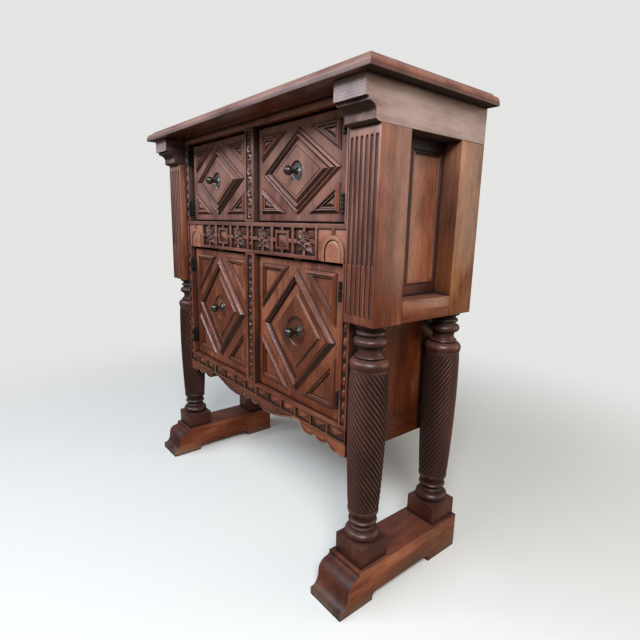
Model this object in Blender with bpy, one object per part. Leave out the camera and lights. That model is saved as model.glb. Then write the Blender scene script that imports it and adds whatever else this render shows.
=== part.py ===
"""Carved walnut sideboard: a case with four doors hung between two trestles.

Each trestle is a sled foot, two turned legs, a fluted front post and a plain rear post, a lower
rail, a framed side panel and a capital. Metres, +Z up, the doors face -Y, the origin is on the
floor under the middle of the object.
"""

import math

import bmesh
import bpy
from mathutils import Matrix, Vector

# Fits
CLEAR = 0.0003  # between pieces that touch
DOOR_GAP = 0.0015  # under a door and at its free edge
DOOR_HEAD_GAP = 0.0035  # above a door
PIN_CLEAR = 0.0003  # between a hinge pin and its knuckles

# Heights of a trestle, from the floor up
FOOT_HEIGHT = 0.0961
LEG_LENGTH = 0.5849
POST_LENGTH = 0.4064
CAPITAL_HEIGHT = 0.0812
TOP_THICKNESS = 0.0314
LOWER_RAIL_HEIGHT = 0.0494

# Heights of the case front, from the top board down
TOP_RAIL_HEIGHT = 0.0191
UPPER_OPENING = 0.2545
FRIEZE_HEIGHT = 0.0880
LOWER_OPENING = 0.3914
BAND_HEIGHT = 0.0426
APRON_DROP = 0.0320

# Widths
CASE_WIDTH = 0.8740
POST_WIDTH = 0.0915
STILE_WIDTH = 0.0290
MUNTIN_WIDTH = 0.0486
FOOT_WIDTH = 0.1100
PLINTH_SIDE = 0.0900
LEG_OFFSET = 0.0432  # from the case side out to the legs' axes
FOOT_OFFSET = 0.0415  # from the case side out to the feet's middles
TOP_SIDE_OVERHANG = 0.0302

# Depths
FRAME_DEPTH = 0.3550  # front posts' faces to rear posts' backs
POST_DEPTH = 0.0904
CAPITAL_REACH = 0.0460  # ahead of the posts
TOP_FRONT_OVERHANG = 0.0204  # ahead of the capitals
TOE_REACH = 0.0664  # ahead of the posts
HEEL_REACH = 0.0146  # behind the posts
FRONT_LEG_SETBACK = 0.0020  # legs' axes behind the posts' middles
REAR_LEG_SETBACK = 0.0090
FACE_SETBACK = 0.0202  # case front behind the posts' faces
DOOR_RECESS = 0.0170  # doors behind the case front

# Thicknesses
SIDE_THICKNESS = 0.0200
FRAME_THICKNESS = 0.0360
DOOR_THICKNESS = 0.0220
FLOOR_THICKNESS = 0.0180
BACK_THICKNESS = 0.0100
PANEL_THICKNESS = 0.0180

# Top board's moulded edge
TOP_EDGE_SETBACK = 0.0228
TOP_BEVEL_SETBACK, TOP_BEVEL_DROP = 0.0141, 0.0060
TOP_GROOVE_SETBACK, TOP_GROOVE_DROP = 0.0155, 0.0085
TOP_ROUND_SETBACK, TOP_ROUND_HEIGHT = 0.0137, 0.0165

# Capital's front: a fascia, a fillet, a hollow and a quarter round
FASCIA_HEIGHT = 0.0399
CAPITAL_STEP = 0.0090
CAPITAL_FILLET = 0.0070
HOLLOW_REACH = 0.0150  # of the hollow's foot, ahead of the posts
HOLLOW_HEIGHT = 0.0170
QUARTER_ROUND = 0.0060

# Front posts' flutes
FLUTE_COUNT = 6
FLUTE_PITCH = 0.0142
FLUTE_RADIUS = 0.0042
FLUTE_END_MARGIN = 0.0175

# Feet: a lip, a hollow and a swelling at the toe, and an arch underneath
FOOT_TOP_SETBACK = 0.0580
FOOT_FILLET_HEIGHT = 0.0090
SWELLING_SETBACK, SWELLING_DEPTH = 0.0235, 0.0276
SWELLING_TOP, SWELLING_FOOT = 0.0830, 0.0550
HOLLOW_TOP = 0.0510
TOE_LIP_HEIGHT = 0.0185
TOE_LIP_LENGTH = 0.0040
ARCH_HEIGHT = 0.0190
ARCH_FRONT_SETBACK = 0.1060
ARCH_BACK_SETBACK = 0.1140
ARCH_ROUND = 0.0120

# Legs, turned above a square plinth
PLINTH_HEIGHT = 0.0516
BASE_RING_RADIUS, BASE_RING_HEIGHT = 0.0425, 0.0270
COLLAR_RADIUS, COLLAR_HEIGHT = 0.0335, 0.0150
BODY_FOOT_RADIUS, BODY_TOP_RADIUS = 0.0340, 0.0425
# Shares of the body's height and of its swelling
BODY_SWELL = ((0.0, 0.0), (0.12, 0.30), (0.33, 0.74), (0.66, 0.95), (1.0, 1.0))
SHOULDER_HEIGHT = 0.0250
CORE_RADIUS = 0.0295
FILLET_RING_RADIUS, FILLET_RING_HEIGHT = 0.0345, 0.0090
NECK_HEIGHT = 0.0200
HEAD_RINGS = ((0.0380, 0.0220), (0.0335, 0.0110), (0.0365, 0.0180))  # radius and height, going up
LEG_ROOT = 0.0040  # of the turning, down inside the plinth
LEG_SIDES = 20

# Side panels
PANEL_INSET = 0.0502  # behind the posts' outer faces
PANEL_FIELD_SINK = 0.0050
PANEL_RAIL = 0.0300
PANEL_STILE = 0.0650
PANEL_REAR_STILE = 0.0080
PANEL_BEVEL = 0.0080

# Apron: a band of pyramids above a scalloped edge
PYRAMID_COUNT = 13
PYRAMID_GAP = 0.0120
PYRAMID_MARGIN = 0.0060
PYRAMID_RISE = 0.0060
PYRAMID_TIP = 0.15  # share of a pyramid's width left at its top
SCALLOP_DEPTH = 0.0200
END_LOBE_WIDTH, END_LOBE_ROUND = 0.0670, 0.0100
SMALL_LOBE_COUNT, SMALL_LOBE_WIDTH = 2, 0.0520
CENTRE_LOBE_WIDTH, CENTRE_LOBE_DEPTH = 0.0480, 0.0140
LOBE_OPENING = 20  # degrees of a lobe's arc left open at each side
ARCH_STEPS = 8

# Doors' relief
UPPER_DIAMOND = (0.1570, 0.1025)  # half width, half height
LOWER_DIAMOND = (0.1590, 0.1680)
UPPER_CORNER = (0.1140, 0.0680)  # legs of the corner triangles
LOWER_CORNER = (0.1300, 0.1320)
CORNER_MARGIN = 0.0220
CORNER_HINGE_MARGIN = 0.0300  # beside the hinges
CORNER_RISE, CORNER_BEVEL = 0.0060, 0.0072
DIAMOND_RISE = 0.0100
UPPER_BAND, LOWER_BAND = 0.0330, 0.0220  # widths of the diamond mouldings
UPPER_FIELD_RISE, LOWER_FIELD_RISE = 0.0090, 0.0040
UPPER_FIELD_INSET, LOWER_FIELD_INSET = 0.0335, 0.0500
FIELD_SLOPE = 0.0025
# Diamond mouldings' sections: shares of the width and of the rise, from outside in
UPPER_STEPS = ((0.06, 0.5), (0.30, 1.0), (0.62, 0.8), (0.70, 0.4), (0.84, 0.6), (0.95, 0.3))
LOWER_STEPS = ((0.10, 0.5), (0.35, 1.0), (0.65, 1.0), (0.90, 0.5))
UPPER_DISH = (0.0265, 0.0060, 0.0040)  # radius, depth, width of its slope
LOWER_DISH = (0.0415, 0.0070, 0.0140)

# Knobs
UPPER_ROSE_RADIUS, LOWER_ROSE_RADIUS = 0.0215, 0.0170
KNOB_ROSE_HEIGHT = 0.0040
KNOB_NECK_RADIUS, KNOB_NECK_FLARE = 0.0055, 0.0088
UPPER_BALL_RADIUS, LOWER_BALL_RADIUS = 0.0120, 0.0140
KNOB_REACH = 0.0300  # of the ball's middle, from the dish

# Hinges
HINGE_HEIGHT = 0.0470
KNUCKLE_RADIUS = 0.0045
PIN_RADIUS = 0.0022
HINGE_PROUD = 0.0010  # of the pin's axis, ahead of the case front
LEAF_THICKNESS = 0.0016
LEAF_GAP = 0.0006
LEAF_REACH_IN = 0.0160  # of the leaves, behind the doors' faces
UPPER_HINGE_SETIN = 0.0435
LOWER_HINGE_SETIN = 0.0640

# Lower shelf
SHELF_RISE = 0.1950
SHELF_FRONT_SETBACK = 0.0500

# Places worked out from the sizes above
FOOT_LENGTH = TOE_REACH + FRAME_DEPTH + HEEL_REACH
TOE = -FOOT_LENGTH / 2
HEEL = FOOT_LENGTH / 2
POST_FRONT = TOE + TOE_REACH
POST_BACK = POST_FRONT + FRAME_DEPTH
FACE = POST_FRONT + FACE_SETBACK
FRAME_BACK = FACE + FRAME_THICKNESS
DOOR_FACE = FACE + DOOR_RECESS
DOOR_BACK = DOOR_FACE + DOOR_THICKNESS
CASE_HALF = CASE_WIDTH / 2
POST_INNER = CASE_HALF + CLEAR
POST_OUTER = POST_INNER + POST_WIDTH
LEG_X = CASE_HALF + LEG_OFFSET
LEG_FRONT_Y = POST_FRONT + POST_DEPTH / 2 + FRONT_LEG_SETBACK
LEG_REAR_Y = POST_BACK - POST_DEPTH / 2 + REAR_LEG_SETBACK
POST_BOTTOM = FOOT_HEIGHT + LEG_LENGTH
CAPITAL_BOTTOM = POST_BOTTOM + POST_LENGTH
TOP_UNDERSIDE = CAPITAL_BOTTOM + CAPITAL_HEIGHT
UPPER_TOP = TOP_UNDERSIDE - TOP_RAIL_HEIGHT
UPPER_BOTTOM = UPPER_TOP - UPPER_OPENING
LOWER_TOP = UPPER_BOTTOM - FRIEZE_HEIGHT
LOWER_BOTTOM = LOWER_TOP - LOWER_OPENING
BAND_BOTTOM = LOWER_BOTTOM - BAND_HEIGHT
CASE_EDGE = BAND_BOTTOM - APRON_DROP
OPENING_OUTER = CASE_HALF - STILE_WIDTH
OPENING_INNER = MUNTIN_WIDTH / 2
HINGE_GAP = 2 * CLEAR + 2 * LEAF_THICKNESS + LEAF_GAP
AXIS_X = OPENING_OUTER - CLEAR - KNUCKLE_RADIUS
AXIS_Y = FACE - HINGE_PROUD
DOOR_OUTER = OPENING_OUTER - HINGE_GAP
DOOR_INNER = OPENING_INNER + DOOR_GAP
DOOR_MIDDLE = (DOOR_OUTER + DOOR_INNER) / 2
INSIDE_HALF = CASE_HALF - SIDE_THICKNESS
BACK_FRONT = POST_BACK - BACK_THICKNESS

SIDES = (("left", -1), ("right", 1))
UPPER_MOULDING = (UPPER_DIAMOND, UPPER_BAND, UPPER_STEPS)
LOWER_MOULDING = (LOWER_DIAMOND, LOWER_BAND, LOWER_STEPS)
UPPER_FIELD = (UPPER_DIAMOND, UPPER_FIELD_INSET, UPPER_FIELD_RISE)
LOWER_FIELD = (LOWER_DIAMOND, LOWER_FIELD_INSET, LOWER_FIELD_RISE)


def wood(name, colour, roughness):
    return finish_of(name, colour, roughness, 0.0)


def finish_of(name, colour, roughness, metallic):
    material = bpy.data.materials.new(name)
    material.use_nodes = True
    shader = material.node_tree.nodes["Principled BSDF"]
    shader.inputs["Base Color"].default_value = (*colour, 1.0)
    shader.inputs["Roughness"].default_value = roughness
    shader.inputs["Metallic"].default_value = metallic
    material.diffuse_color = (*colour, 1.0)
    return material


def add_object(name, bm, material, parent=None):
    """The mesh as a named object, faces out, hung on parent where it moves."""
    bmesh.ops.recalc_face_normals(bm, faces=bm.faces)
    mesh = bpy.data.meshes.new(name)
    bm.to_mesh(mesh)
    bm.free()
    mesh.materials.append(material)
    piece = bpy.data.objects.new(name, mesh)
    bpy.context.scene.collection.objects.link(piece)
    if parent:
        piece.parent = parent
        piece.matrix_parent_inverse = parent.matrix_world.inverted()
    return piece


def smooth(piece):
    piece.data.shade_smooth()
    piece.data.set_sharp_from_angle(angle=math.radians(35))


def add_block(bm, low, high):
    """A box between two corners, given in any order along each axis."""
    made = bmesh.ops.create_cube(bm, size=1.0)["verts"]
    size = Vector(abs(b - a) for a, b in zip(low, high))
    middle = Vector((a + b) / 2 for a, b in zip(low, high))
    bmesh.ops.scale(bm, vec=size, verts=made)
    bmesh.ops.translate(bm, vec=middle, verts=made)
    return made


def block(name, low, high, material, parent=None):
    bm = bmesh.new()
    add_block(bm, low, high)
    return add_object(name, bm, material, parent)


def add_prism(bm, corners, along):
    """The polygon through corners, drawn out by the vector along."""
    face = bm.faces.new([bm.verts.new(corner) for corner in corners])
    drawn = bmesh.ops.extrude_face_region(bm, geom=[face])["geom"]
    moved = [part for part in drawn if isinstance(part, bmesh.types.BMVert)]
    bmesh.ops.translate(bm, vec=along, verts=moved)


def add_stack(bm, rings):
    """A solid through rings of as many corners each, capped at both ends."""
    rows = [[bm.verts.new(corner) for corner in ring] for ring in rings]
    bm.faces.new(rows[0])
    bm.faces.new(rows[-1])
    for lower, upper in zip(rows, rows[1:]):
        join_rings(bm, lower, upper)


def join_rings(bm, lower, upper):
    for i, corner in enumerate(lower):
        j = (i + 1) % len(lower)
        bm.faces.new((corner, lower[j], upper[j], upper[i]))


def add_turning(bm, profile, centre, axis, sides):
    """A solid of revolution: profile holds (radius, height) along axis from centre, both ends on the axis."""
    turn = Vector((0, 0, 1)).rotation_difference(Vector(axis)).to_matrix().to_4x4()
    place = Matrix.Translation(centre) @ turn
    row = [bm.verts.new(place @ Vector((radius, 0, height))) for radius, height in profile]
    edges = [bm.edges.new(pair) for pair in zip(row, row[1:])]
    bmesh.ops.spin(bm, geom=row + edges, cent=centre, axis=axis, angle=math.tau, steps=sides, use_merge=True)
    bmesh.ops.remove_doubles(bm, verts=bm.verts, dist=1e-6)


def arc(centre, radii, start, end, steps):
    """Points of an elliptical arc, angles in degrees."""
    points = []
    for i in range(steps + 1):
        angle = math.radians(start + (end - start) * i / steps)
        points.append((centre[0] + radii[0] * math.cos(angle), centre[1] + radii[1] * math.sin(angle)))
    return points


def apply_tool(piece, bm, operation):
    """Cuts the mesh out of a piece, or joins it on."""
    tool = add_object(f"{piece.name}_{operation.lower()}_tool", bm, piece.data.materials[0], piece.parent)
    tool.hide_render = True
    tool.display_type = "WIRE"
    step = piece.modifiers.new(operation.title(), "BOOLEAN")
    step.operation = operation
    step.solver = "EXACT"
    step.object = tool


def mirrored(side, corners):
    return [(side * x, y, z) for x, y, z in corners]


def make_top(material):
    """Top board: a bevel, a groove and a thumbnail round on its front and ends, and a straight back."""
    levels = [(TOP_EDGE_SETBACK, 0.0), (TOP_BEVEL_SETBACK, TOP_BEVEL_DROP)]
    levels.append((TOP_GROOVE_SETBACK, TOP_GROOVE_DROP))
    round_foot = TOP_GROOVE_DROP + TOP_ROUND_HEIGHT
    levels += arc((TOP_ROUND_SETBACK, round_foot), (TOP_ROUND_SETBACK, TOP_ROUND_HEIGHT), 270, 180, 4)
    levels.append((0.0, TOP_THICKNESS))
    half = POST_OUTER + TOP_SIDE_OVERHANG
    front = POST_FRONT - CAPITAL_REACH - TOP_FRONT_OVERHANG
    rings = []
    for setback, drop in reversed(levels):
        x, y, z = half - setback, front + setback, TOP_UNDERSIDE + TOP_THICKNESS - drop
        rings.append([(-x, y, z), (x, y, z), (x, POST_BACK, z), (-x, POST_BACK, z)])
    bm = bmesh.new()
    add_stack(bm, rings)
    add_object("top_board", bm, material)


def capital_outline():
    """The capital seen from the side, as (reach ahead of the posts, height above their tops)."""
    fillet_top = CAPITAL_HEIGHT - FASCIA_HEIGHT
    fillet_reach = CAPITAL_REACH - CAPITAL_STEP
    hollow_top = fillet_top - CAPITAL_FILLET
    hollow_foot = hollow_top - HOLLOW_HEIGHT
    outline = [(CAPITAL_REACH, CAPITAL_HEIGHT - CLEAR), (CAPITAL_REACH, fillet_top)]
    outline.append((fillet_reach, fillet_top))
    outline += arc((fillet_reach, hollow_foot), (fillet_reach - HOLLOW_REACH, HOLLOW_HEIGHT), 90, 180, 6)
    outline += arc((0, CLEAR + QUARTER_ROUND), (HOLLOW_REACH, QUARTER_ROUND), 0, -90, 4)
    return outline


def make_capital(name, side, material):
    corners = [(side * POST_INNER, POST_FRONT - reach, CAPITAL_BOTTOM + height)
               for reach, height in capital_outline()]
    back = [(side * POST_INNER, POST_BACK, CAPITAL_BOTTOM + CLEAR),
            (side * POST_INNER, POST_BACK, TOP_UNDERSIDE - CLEAR)]
    bm = bmesh.new()
    add_prism(bm, corners + back, (side * POST_WIDTH, 0, 0))
    add_object(f"capital_{name}", bm, material)


def make_posts(name, side, material):
    """A front post with flutes down its face, and a plain rear post."""
    low, high = POST_BOTTOM + CLEAR, CAPITAL_BOTTOM
    front = block(f"front_post_{name}", (side * POST_INNER, POST_FRONT, low),
                  (side * POST_OUTER, POST_FRONT + POST_DEPTH, high), material)
    bm = bmesh.new()
    for i in range(FLUTE_COUNT):
        x = side * (POST_INNER + POST_WIDTH / 2 + (i - (FLUTE_COUNT - 1) / 2) * FLUTE_PITCH)
        foot, head = low + FLUTE_END_MARGIN, high - FLUTE_END_MARGIN
        profile = [(0, foot), (FLUTE_RADIUS, foot + FLUTE_RADIUS)]
        profile += [(FLUTE_RADIUS, head - FLUTE_RADIUS), (0, head)]
        add_turning(bm, profile, (x, POST_FRONT, 0), (0, 0, 1), 8)
    apply_tool(front, bm, "DIFFERENCE")
    block(f"rear_post_{name}", (side * POST_INNER, POST_BACK - POST_DEPTH, low),
          (side * POST_OUTER, POST_BACK, high), material)


def make_niche(name, side, material):
    """The lower rail between the posts, and the framed panel that stands on it."""
    front, back = POST_FRONT + POST_DEPTH + CLEAR, POST_BACK - POST_DEPTH - CLEAR
    rail_top = POST_BOTTOM + LOWER_RAIL_HEIGHT
    block(f"lower_rail_{name}", (side * POST_INNER, front, POST_BOTTOM),
          (side * POST_OUTER, back, rail_top), material)
    outer = POST_OUTER - PANEL_INSET
    low, high = rail_top + CLEAR, CAPITAL_BOTTOM
    panel = block(f"side_panel_{name}", (side * (outer - PANEL_THICKNESS), front, low),
                  (side * outer, back, high), material)
    field = (front + PANEL_STILE, back - PANEL_REAR_STILE, low + PANEL_RAIL, high - PANEL_RAIL)
    bm = bmesh.new()
    rings = []
    for x, grow in ((outer - PANEL_FIELD_SINK, 0.0), (outer + PANEL_FIELD_SINK, PANEL_BEVEL)):
        y0, y1 = field[0] - grow, field[1] + min(grow, PANEL_REAR_STILE / 2)
        z0, z1 = field[2] - grow, field[3] + grow
        rings.append(mirrored(side, [(x, y0, z0), (x, y1, z0), (x, y1, z1), (x, y0, z1)]))
    add_stack(bm, rings)
    apply_tool(panel, bm, "DIFFERENCE")


def foot_outline():
    """The foot seen from the side, as (y, z), from the heel round over the top to the toe and the arch."""
    swelling = TOE + SWELLING_SETBACK
    top_front = TOE + FOOT_TOP_SETBACK
    fillet_foot = FOOT_HEIGHT - FOOT_FILLET_HEIGHT
    outline = [(HEEL, 0), (HEEL, FOOT_HEIGHT), (top_front, FOOT_HEIGHT), (top_front, fillet_foot)]
    outline += arc((swelling + SWELLING_DEPTH, SWELLING_FOOT), (SWELLING_DEPTH, SWELLING_TOP - SWELLING_FOOT),
                   90, 180, 5)
    lip = TOE + TOE_LIP_LENGTH
    outline += arc((lip, HOLLOW_TOP), (swelling - lip, HOLLOW_TOP - TOE_LIP_HEIGHT), 0, -90, 5)
    outline += [(TOE, TOE_LIP_HEIGHT), (TOE, 0)]
    front, back = TOE + ARCH_FRONT_SETBACK, HEEL - ARCH_BACK_SETBACK
    outline.append((front, 0))
    outline += arc((front + ARCH_ROUND, ARCH_HEIGHT - ARCH_ROUND), (ARCH_ROUND, ARCH_ROUND), 180, 90, 3)
    outline += arc((back - ARCH_ROUND, ARCH_HEIGHT - ARCH_ROUND), (ARCH_ROUND, ARCH_ROUND), 90, 0, 3)
    outline.append((back, 0))
    return outline


def make_foot(name, side, material):
    inner = side * (CASE_HALF + FOOT_OFFSET) - FOOT_WIDTH / 2
    bm = bmesh.new()
    add_prism(bm, [(inner, y, z) for y, z in foot_outline()], (FOOT_WIDTH, 0, 0))
    add_object(f"foot_{name}", bm, material)


def ring(low, height, radius, steps=4):
    """A half-round ring on a leg's core, as (radius, height) from below."""
    return arc((CORE_RADIUS, low + height / 2), (radius - CORE_RADIUS, height / 2), -90, 90, steps)


def leg_profile():
    """The turned part of a leg, as (radius, height) above the foot, from below."""
    root = PLINTH_HEIGHT - LEG_ROOT
    top = LEG_LENGTH - CLEAR
    collar = PLINTH_HEIGHT + BASE_RING_HEIGHT
    body = collar + COLLAR_HEIGHT
    head = LEG_LENGTH - sum(height for radius, height in HEAD_RINGS)
    fillet = head - NECK_HEIGHT - FILLET_RING_HEIGHT
    shoulder = fillet - SHOULDER_HEIGHT
    profile = [(0, root), (CORE_RADIUS, root)]
    profile += ring(PLINTH_HEIGHT, BASE_RING_HEIGHT, BASE_RING_RADIUS)
    profile += ring(collar, COLLAR_HEIGHT, COLLAR_RADIUS, 2)[1:]
    for along, share in BODY_SWELL:
        radius = BODY_FOOT_RADIUS + (BODY_TOP_RADIUS - BODY_FOOT_RADIUS) * share
        profile.append((radius, body + (shoulder - body) * along))
    profile += arc((CORE_RADIUS, shoulder), (BODY_TOP_RADIUS - CORE_RADIUS, SHOULDER_HEIGHT), 0, 90, 4)[1:]
    profile += ring(fillet, FILLET_RING_HEIGHT, FILLET_RING_RADIUS, 2)[1:]
    profile.append((CORE_RADIUS, head))
    for radius, height in HEAD_RINGS:
        profile += ring(head, height, radius)[1:]
        head += height
    profile[-1] = (CORE_RADIUS, top)
    profile.append((0, top))
    return profile


def make_legs(name, side, material):
    for place, y in (("front", LEG_FRONT_Y), ("rear", LEG_REAR_Y)):
        centre = Vector((side * LEG_X, y, FOOT_HEIGHT))
        half = PLINTH_SIDE / 2
        bm = bmesh.new()
        add_turning(bm, leg_profile(), centre, (0, 0, 1), LEG_SIDES)
        leg = add_object(f"leg_{place}_{name}", bm, material)
        smooth(leg)
        bm = bmesh.new()
        add_block(bm, centre + Vector((-half, -half, CLEAR)), centre + Vector((half, half, PLINTH_HEIGHT)))
        apply_tool(leg, bm, "UNION")


def make_case(material, inside):
    """Sides, floors, shelf and back of the case."""
    behind = FRAME_BACK + CLEAR
    top = TOP_UNDERSIDE - CLEAR
    for name, side in SIDES:
        block(f"case_side_{name}", (side * INSIDE_HALF, behind, CASE_EDGE),
              (side * CASE_HALF, POST_BACK, top), material)
    inner = INSIDE_HALF - CLEAR
    block("back_panel", (-inner, BACK_FRONT, CASE_EDGE), (inner, POST_BACK, top), inside)
    floors = (("case_bottom", LOWER_BOTTOM, behind), ("middle_floor", UPPER_BOTTOM, behind),
              ("lower_shelf", LOWER_BOTTOM + SHELF_RISE, behind + SHELF_FRONT_SETBACK))
    for name, level, front in floors:
        block(name, (-inner, front, level - FLOOR_THICKNESS), (inner, BACK_FRONT - CLEAR, level), inside)


def make_front(material):
    """The fixed front: rails right across, with stiles and muntins between them."""
    half = CASE_HALF
    block("top_rail", (-half, FACE, UPPER_TOP + CLEAR), (half, FRAME_BACK, TOP_UNDERSIDE - CLEAR), material)
    block("frieze_rail", (-half, FACE, LOWER_TOP + CLEAR), (half, FRAME_BACK, UPPER_BOTTOM), material)
    openings = (("upper", UPPER_BOTTOM + CLEAR, UPPER_TOP), ("lower", LOWER_BOTTOM + CLEAR, LOWER_TOP))
    for level, low, high in openings:
        block(f"{level}_muntin", (-OPENING_INNER, FACE, low), (OPENING_INNER, FRAME_BACK, high), material)
        for name, side in SIDES:
            block(f"{level}_stile_{name}", (side * OPENING_OUTER, FACE, low),
                  (side * half, FRAME_BACK, high), material)


def lobe(left, width, depth):
    """A round lobe of the apron's edge, hanging to its lowest level, from its right side to its left."""
    reach = width / 2 / math.cos(math.radians(LOBE_OPENING))
    return arc((left + width / 2, CASE_EDGE + depth), (reach, depth), -LOBE_OPENING, LOBE_OPENING - 180, 6)


def scalloped_edge():
    """Half of the apron's lower edge, as (x, z), from the right end to the middle."""
    end = CASE_HALF - END_LOBE_WIDTH
    points = [(CASE_HALF, CASE_EDGE)]
    corner = (end + END_LOBE_ROUND, CASE_EDGE + END_LOBE_ROUND)
    points += arc(corner, (END_LOBE_ROUND, END_LOBE_ROUND), -90, -180, 3)
    for i in range(SMALL_LOBE_COUNT):
        points += lobe(end - SMALL_LOBE_WIDTH * (i + 1), SMALL_LOBE_WIDTH, SCALLOP_DEPTH)
    start = end - SMALL_LOBE_WIDTH * SMALL_LOBE_COUNT
    for i in range(1, ARCH_STEPS):
        share = i / ARCH_STEPS
        rise = SCALLOP_DEPTH * (1 + math.cos(math.pi * share)) / 2
        points.append((start + (CENTRE_LOBE_WIDTH - start) * share, CASE_EDGE + rise))
    points += lobe(0, CENTRE_LOBE_WIDTH, CENTRE_LOBE_DEPTH)[:-1]
    points.append((0, CASE_EDGE + CENTRE_LOBE_DEPTH))
    return points


def make_apron(material):
    """The bottom rail, scalloped below, with a row of pyramids on its face."""
    half = scalloped_edge()
    outline = half + [(-x, z) for x, z in reversed(half[:-1])]
    top = LOWER_BOTTOM
    corners = [(x, FACE, z) for x, z in outline] + [(-CASE_HALF, FACE, top), (CASE_HALF, FACE, top)]
    bm = bmesh.new()
    add_prism(bm, corners, (0, FRAME_THICKNESS, 0))
    apron = add_object("apron_rail", bm, material)
    pitch = CASE_WIDTH / PYRAMID_COUNT
    x, z = (pitch - PYRAMID_GAP) / 2, BAND_HEIGHT / 2 - PYRAMID_MARGIN
    bm = bmesh.new()
    for i in range(PYRAMID_COUNT):
        middle = Vector(((i - (PYRAMID_COUNT - 1) / 2) * pitch, FACE, (BAND_BOTTOM + LOWER_BOTTOM) / 2))
        rings = []
        for y, share in ((PYRAMID_RISE, 1.0), (0.0, 1.0), (-PYRAMID_RISE, PYRAMID_TIP)):
            rings.append([middle + Vector((a * x * share, y, b * z * share))
                          for a, b in ((-1, -1), (1, -1), (1, 1), (-1, 1))])
        add_stack(bm, rings)
    apply_tool(apron, bm, "UNION")


def diamond(middle, half, inset, y):
    """Corners of the diamond whose sides lie inset within those of a diamond of half sizes half."""
    share = 1 - inset * math.hypot(*half) / (half[0] * half[1])
    x, z = half[0] * share, half[1] * share
    return [(middle[0] - x, y, middle[1]), (middle[0], y, middle[1] - z),
            (middle[0] + x, y, middle[1]), (middle[0], y, middle[1] + z)]


def make_diamond(name, middle, half, width, steps, material, parent):
    """A closed diamond of moulding; steps are (share of its width, share of its rise) from outside in."""
    base = DOOR_FACE - CLEAR
    section = [(0.0, base)] + [(width * share, base - DIAMOND_RISE * rise) for share, rise in steps]
    section.append((width, base))
    bm = bmesh.new()
    rings = [[bm.verts.new(corner) for corner in diamond(middle, half, inset, y)] for inset, y in section]
    for outer, inner in zip(rings, rings[1:] + rings[:1]):
        join_rings(bm, outer, inner)
    add_object(f"{name}_diamond", bm, material, parent)


def add_corner(bm, corner, legs, towards):
    """A raised triangle in a door's corner, with bevelled edges."""
    x, z = corner
    a, b = legs[0] * towards[0], legs[1] * towards[1]
    perimeter = legs[0] + legs[1] + math.hypot(*legs)
    radius = legs[0] * legs[1] / perimeter
    centre = Vector((x + towards[0] * radius, 0, z + towards[1] * radius))
    base = [Vector((x, 0, z)), Vector((x + a, 0, z)), Vector((x, 0, z + b))]
    tip = 1 - CORNER_BEVEL / radius
    levels = ((DOOR_FACE + CORNER_RISE, 1.0), (DOOR_FACE, 1.0), (DOOR_FACE - CORNER_RISE, tip))
    rings = [[centre + (point - centre) * share + Vector((0, y, 0)) for point in base] for y, share in levels]
    add_stack(bm, rings)


def make_leaf(name, side, low, high, corner, field, dish, material, parent):
    """A door's board, with raised corners and a raised field that is dished in its middle."""
    leaf = block(name, (side * DOOR_INNER, DOOR_FACE, low),
                 (side * DOOR_OUTER, DOOR_BACK, high), material, parent)
    middle = (side * DOOR_MIDDLE, (low + high) / 2)
    bm = bmesh.new()
    for towards_x, x in ((side, DOOR_INNER + CORNER_MARGIN), (-side, DOOR_OUTER - CORNER_HINGE_MARGIN)):
        for towards_z, z in ((1, low + CORNER_MARGIN), (-1, high - CORNER_MARGIN)):
            add_corner(bm, (side * x, z), corner, (towards_x, towards_z))
    half, inset, rise = field
    levels = ((DOOR_FACE + rise, 0.0), (DOOR_FACE, 0.0), (DOOR_FACE - rise, FIELD_SLOPE))
    add_stack(bm, [diamond(middle, half, inset + grow, y) for y, grow in levels])
    apply_tool(leaf, bm, "UNION")
    radius, depth, slope = dish
    bottom = dish_bottom(field, dish)
    bm = bmesh.new()
    over = depth + CORNER_RISE
    profile = [(0, 0), (radius - slope, 0), (radius, depth), (radius, over), (0, over)]
    add_turning(bm, profile, Vector((middle[0], bottom, middle[1])), (0, -1, 0), 24)
    apply_tool(leaf, bm, "DIFFERENCE")


def dish_bottom(field, dish):
    return DOOR_FACE - field[2] + dish[1]


def make_knob(name, middle, seat, rose, radius, material, parent):
    """A ball on a waisted neck above a round rose."""
    ball = KNOB_REACH
    profile = [(0, CLEAR), (rose, CLEAR), (rose, KNOB_ROSE_HEIGHT / 2)]
    profile += [(KNOB_NECK_FLARE, KNOB_ROSE_HEIGHT), (KNOB_NECK_RADIUS, (KNOB_ROSE_HEIGHT + ball) / 2)]
    start = math.degrees(math.acos(KNOB_NECK_RADIUS / radius))
    profile += arc((0, ball), (radius, radius), -start, 90, 7)
    profile[-1] = (0, ball + radius)
    bm = bmesh.new()
    add_turning(bm, profile, Vector((middle[0], seat, middle[1])), (0, -1, 0), 16)
    smooth(add_object(f"{name}_knob", bm, material, parent))


def knuckle(bm, side, low, high, radius):
    profile = [(0, low), (radius, low), (radius, high), (0, high)]
    add_turning(bm, profile, Vector((side * AXIS_X, AXIS_Y, 0)), (0, 0, 1), 12)


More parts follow.
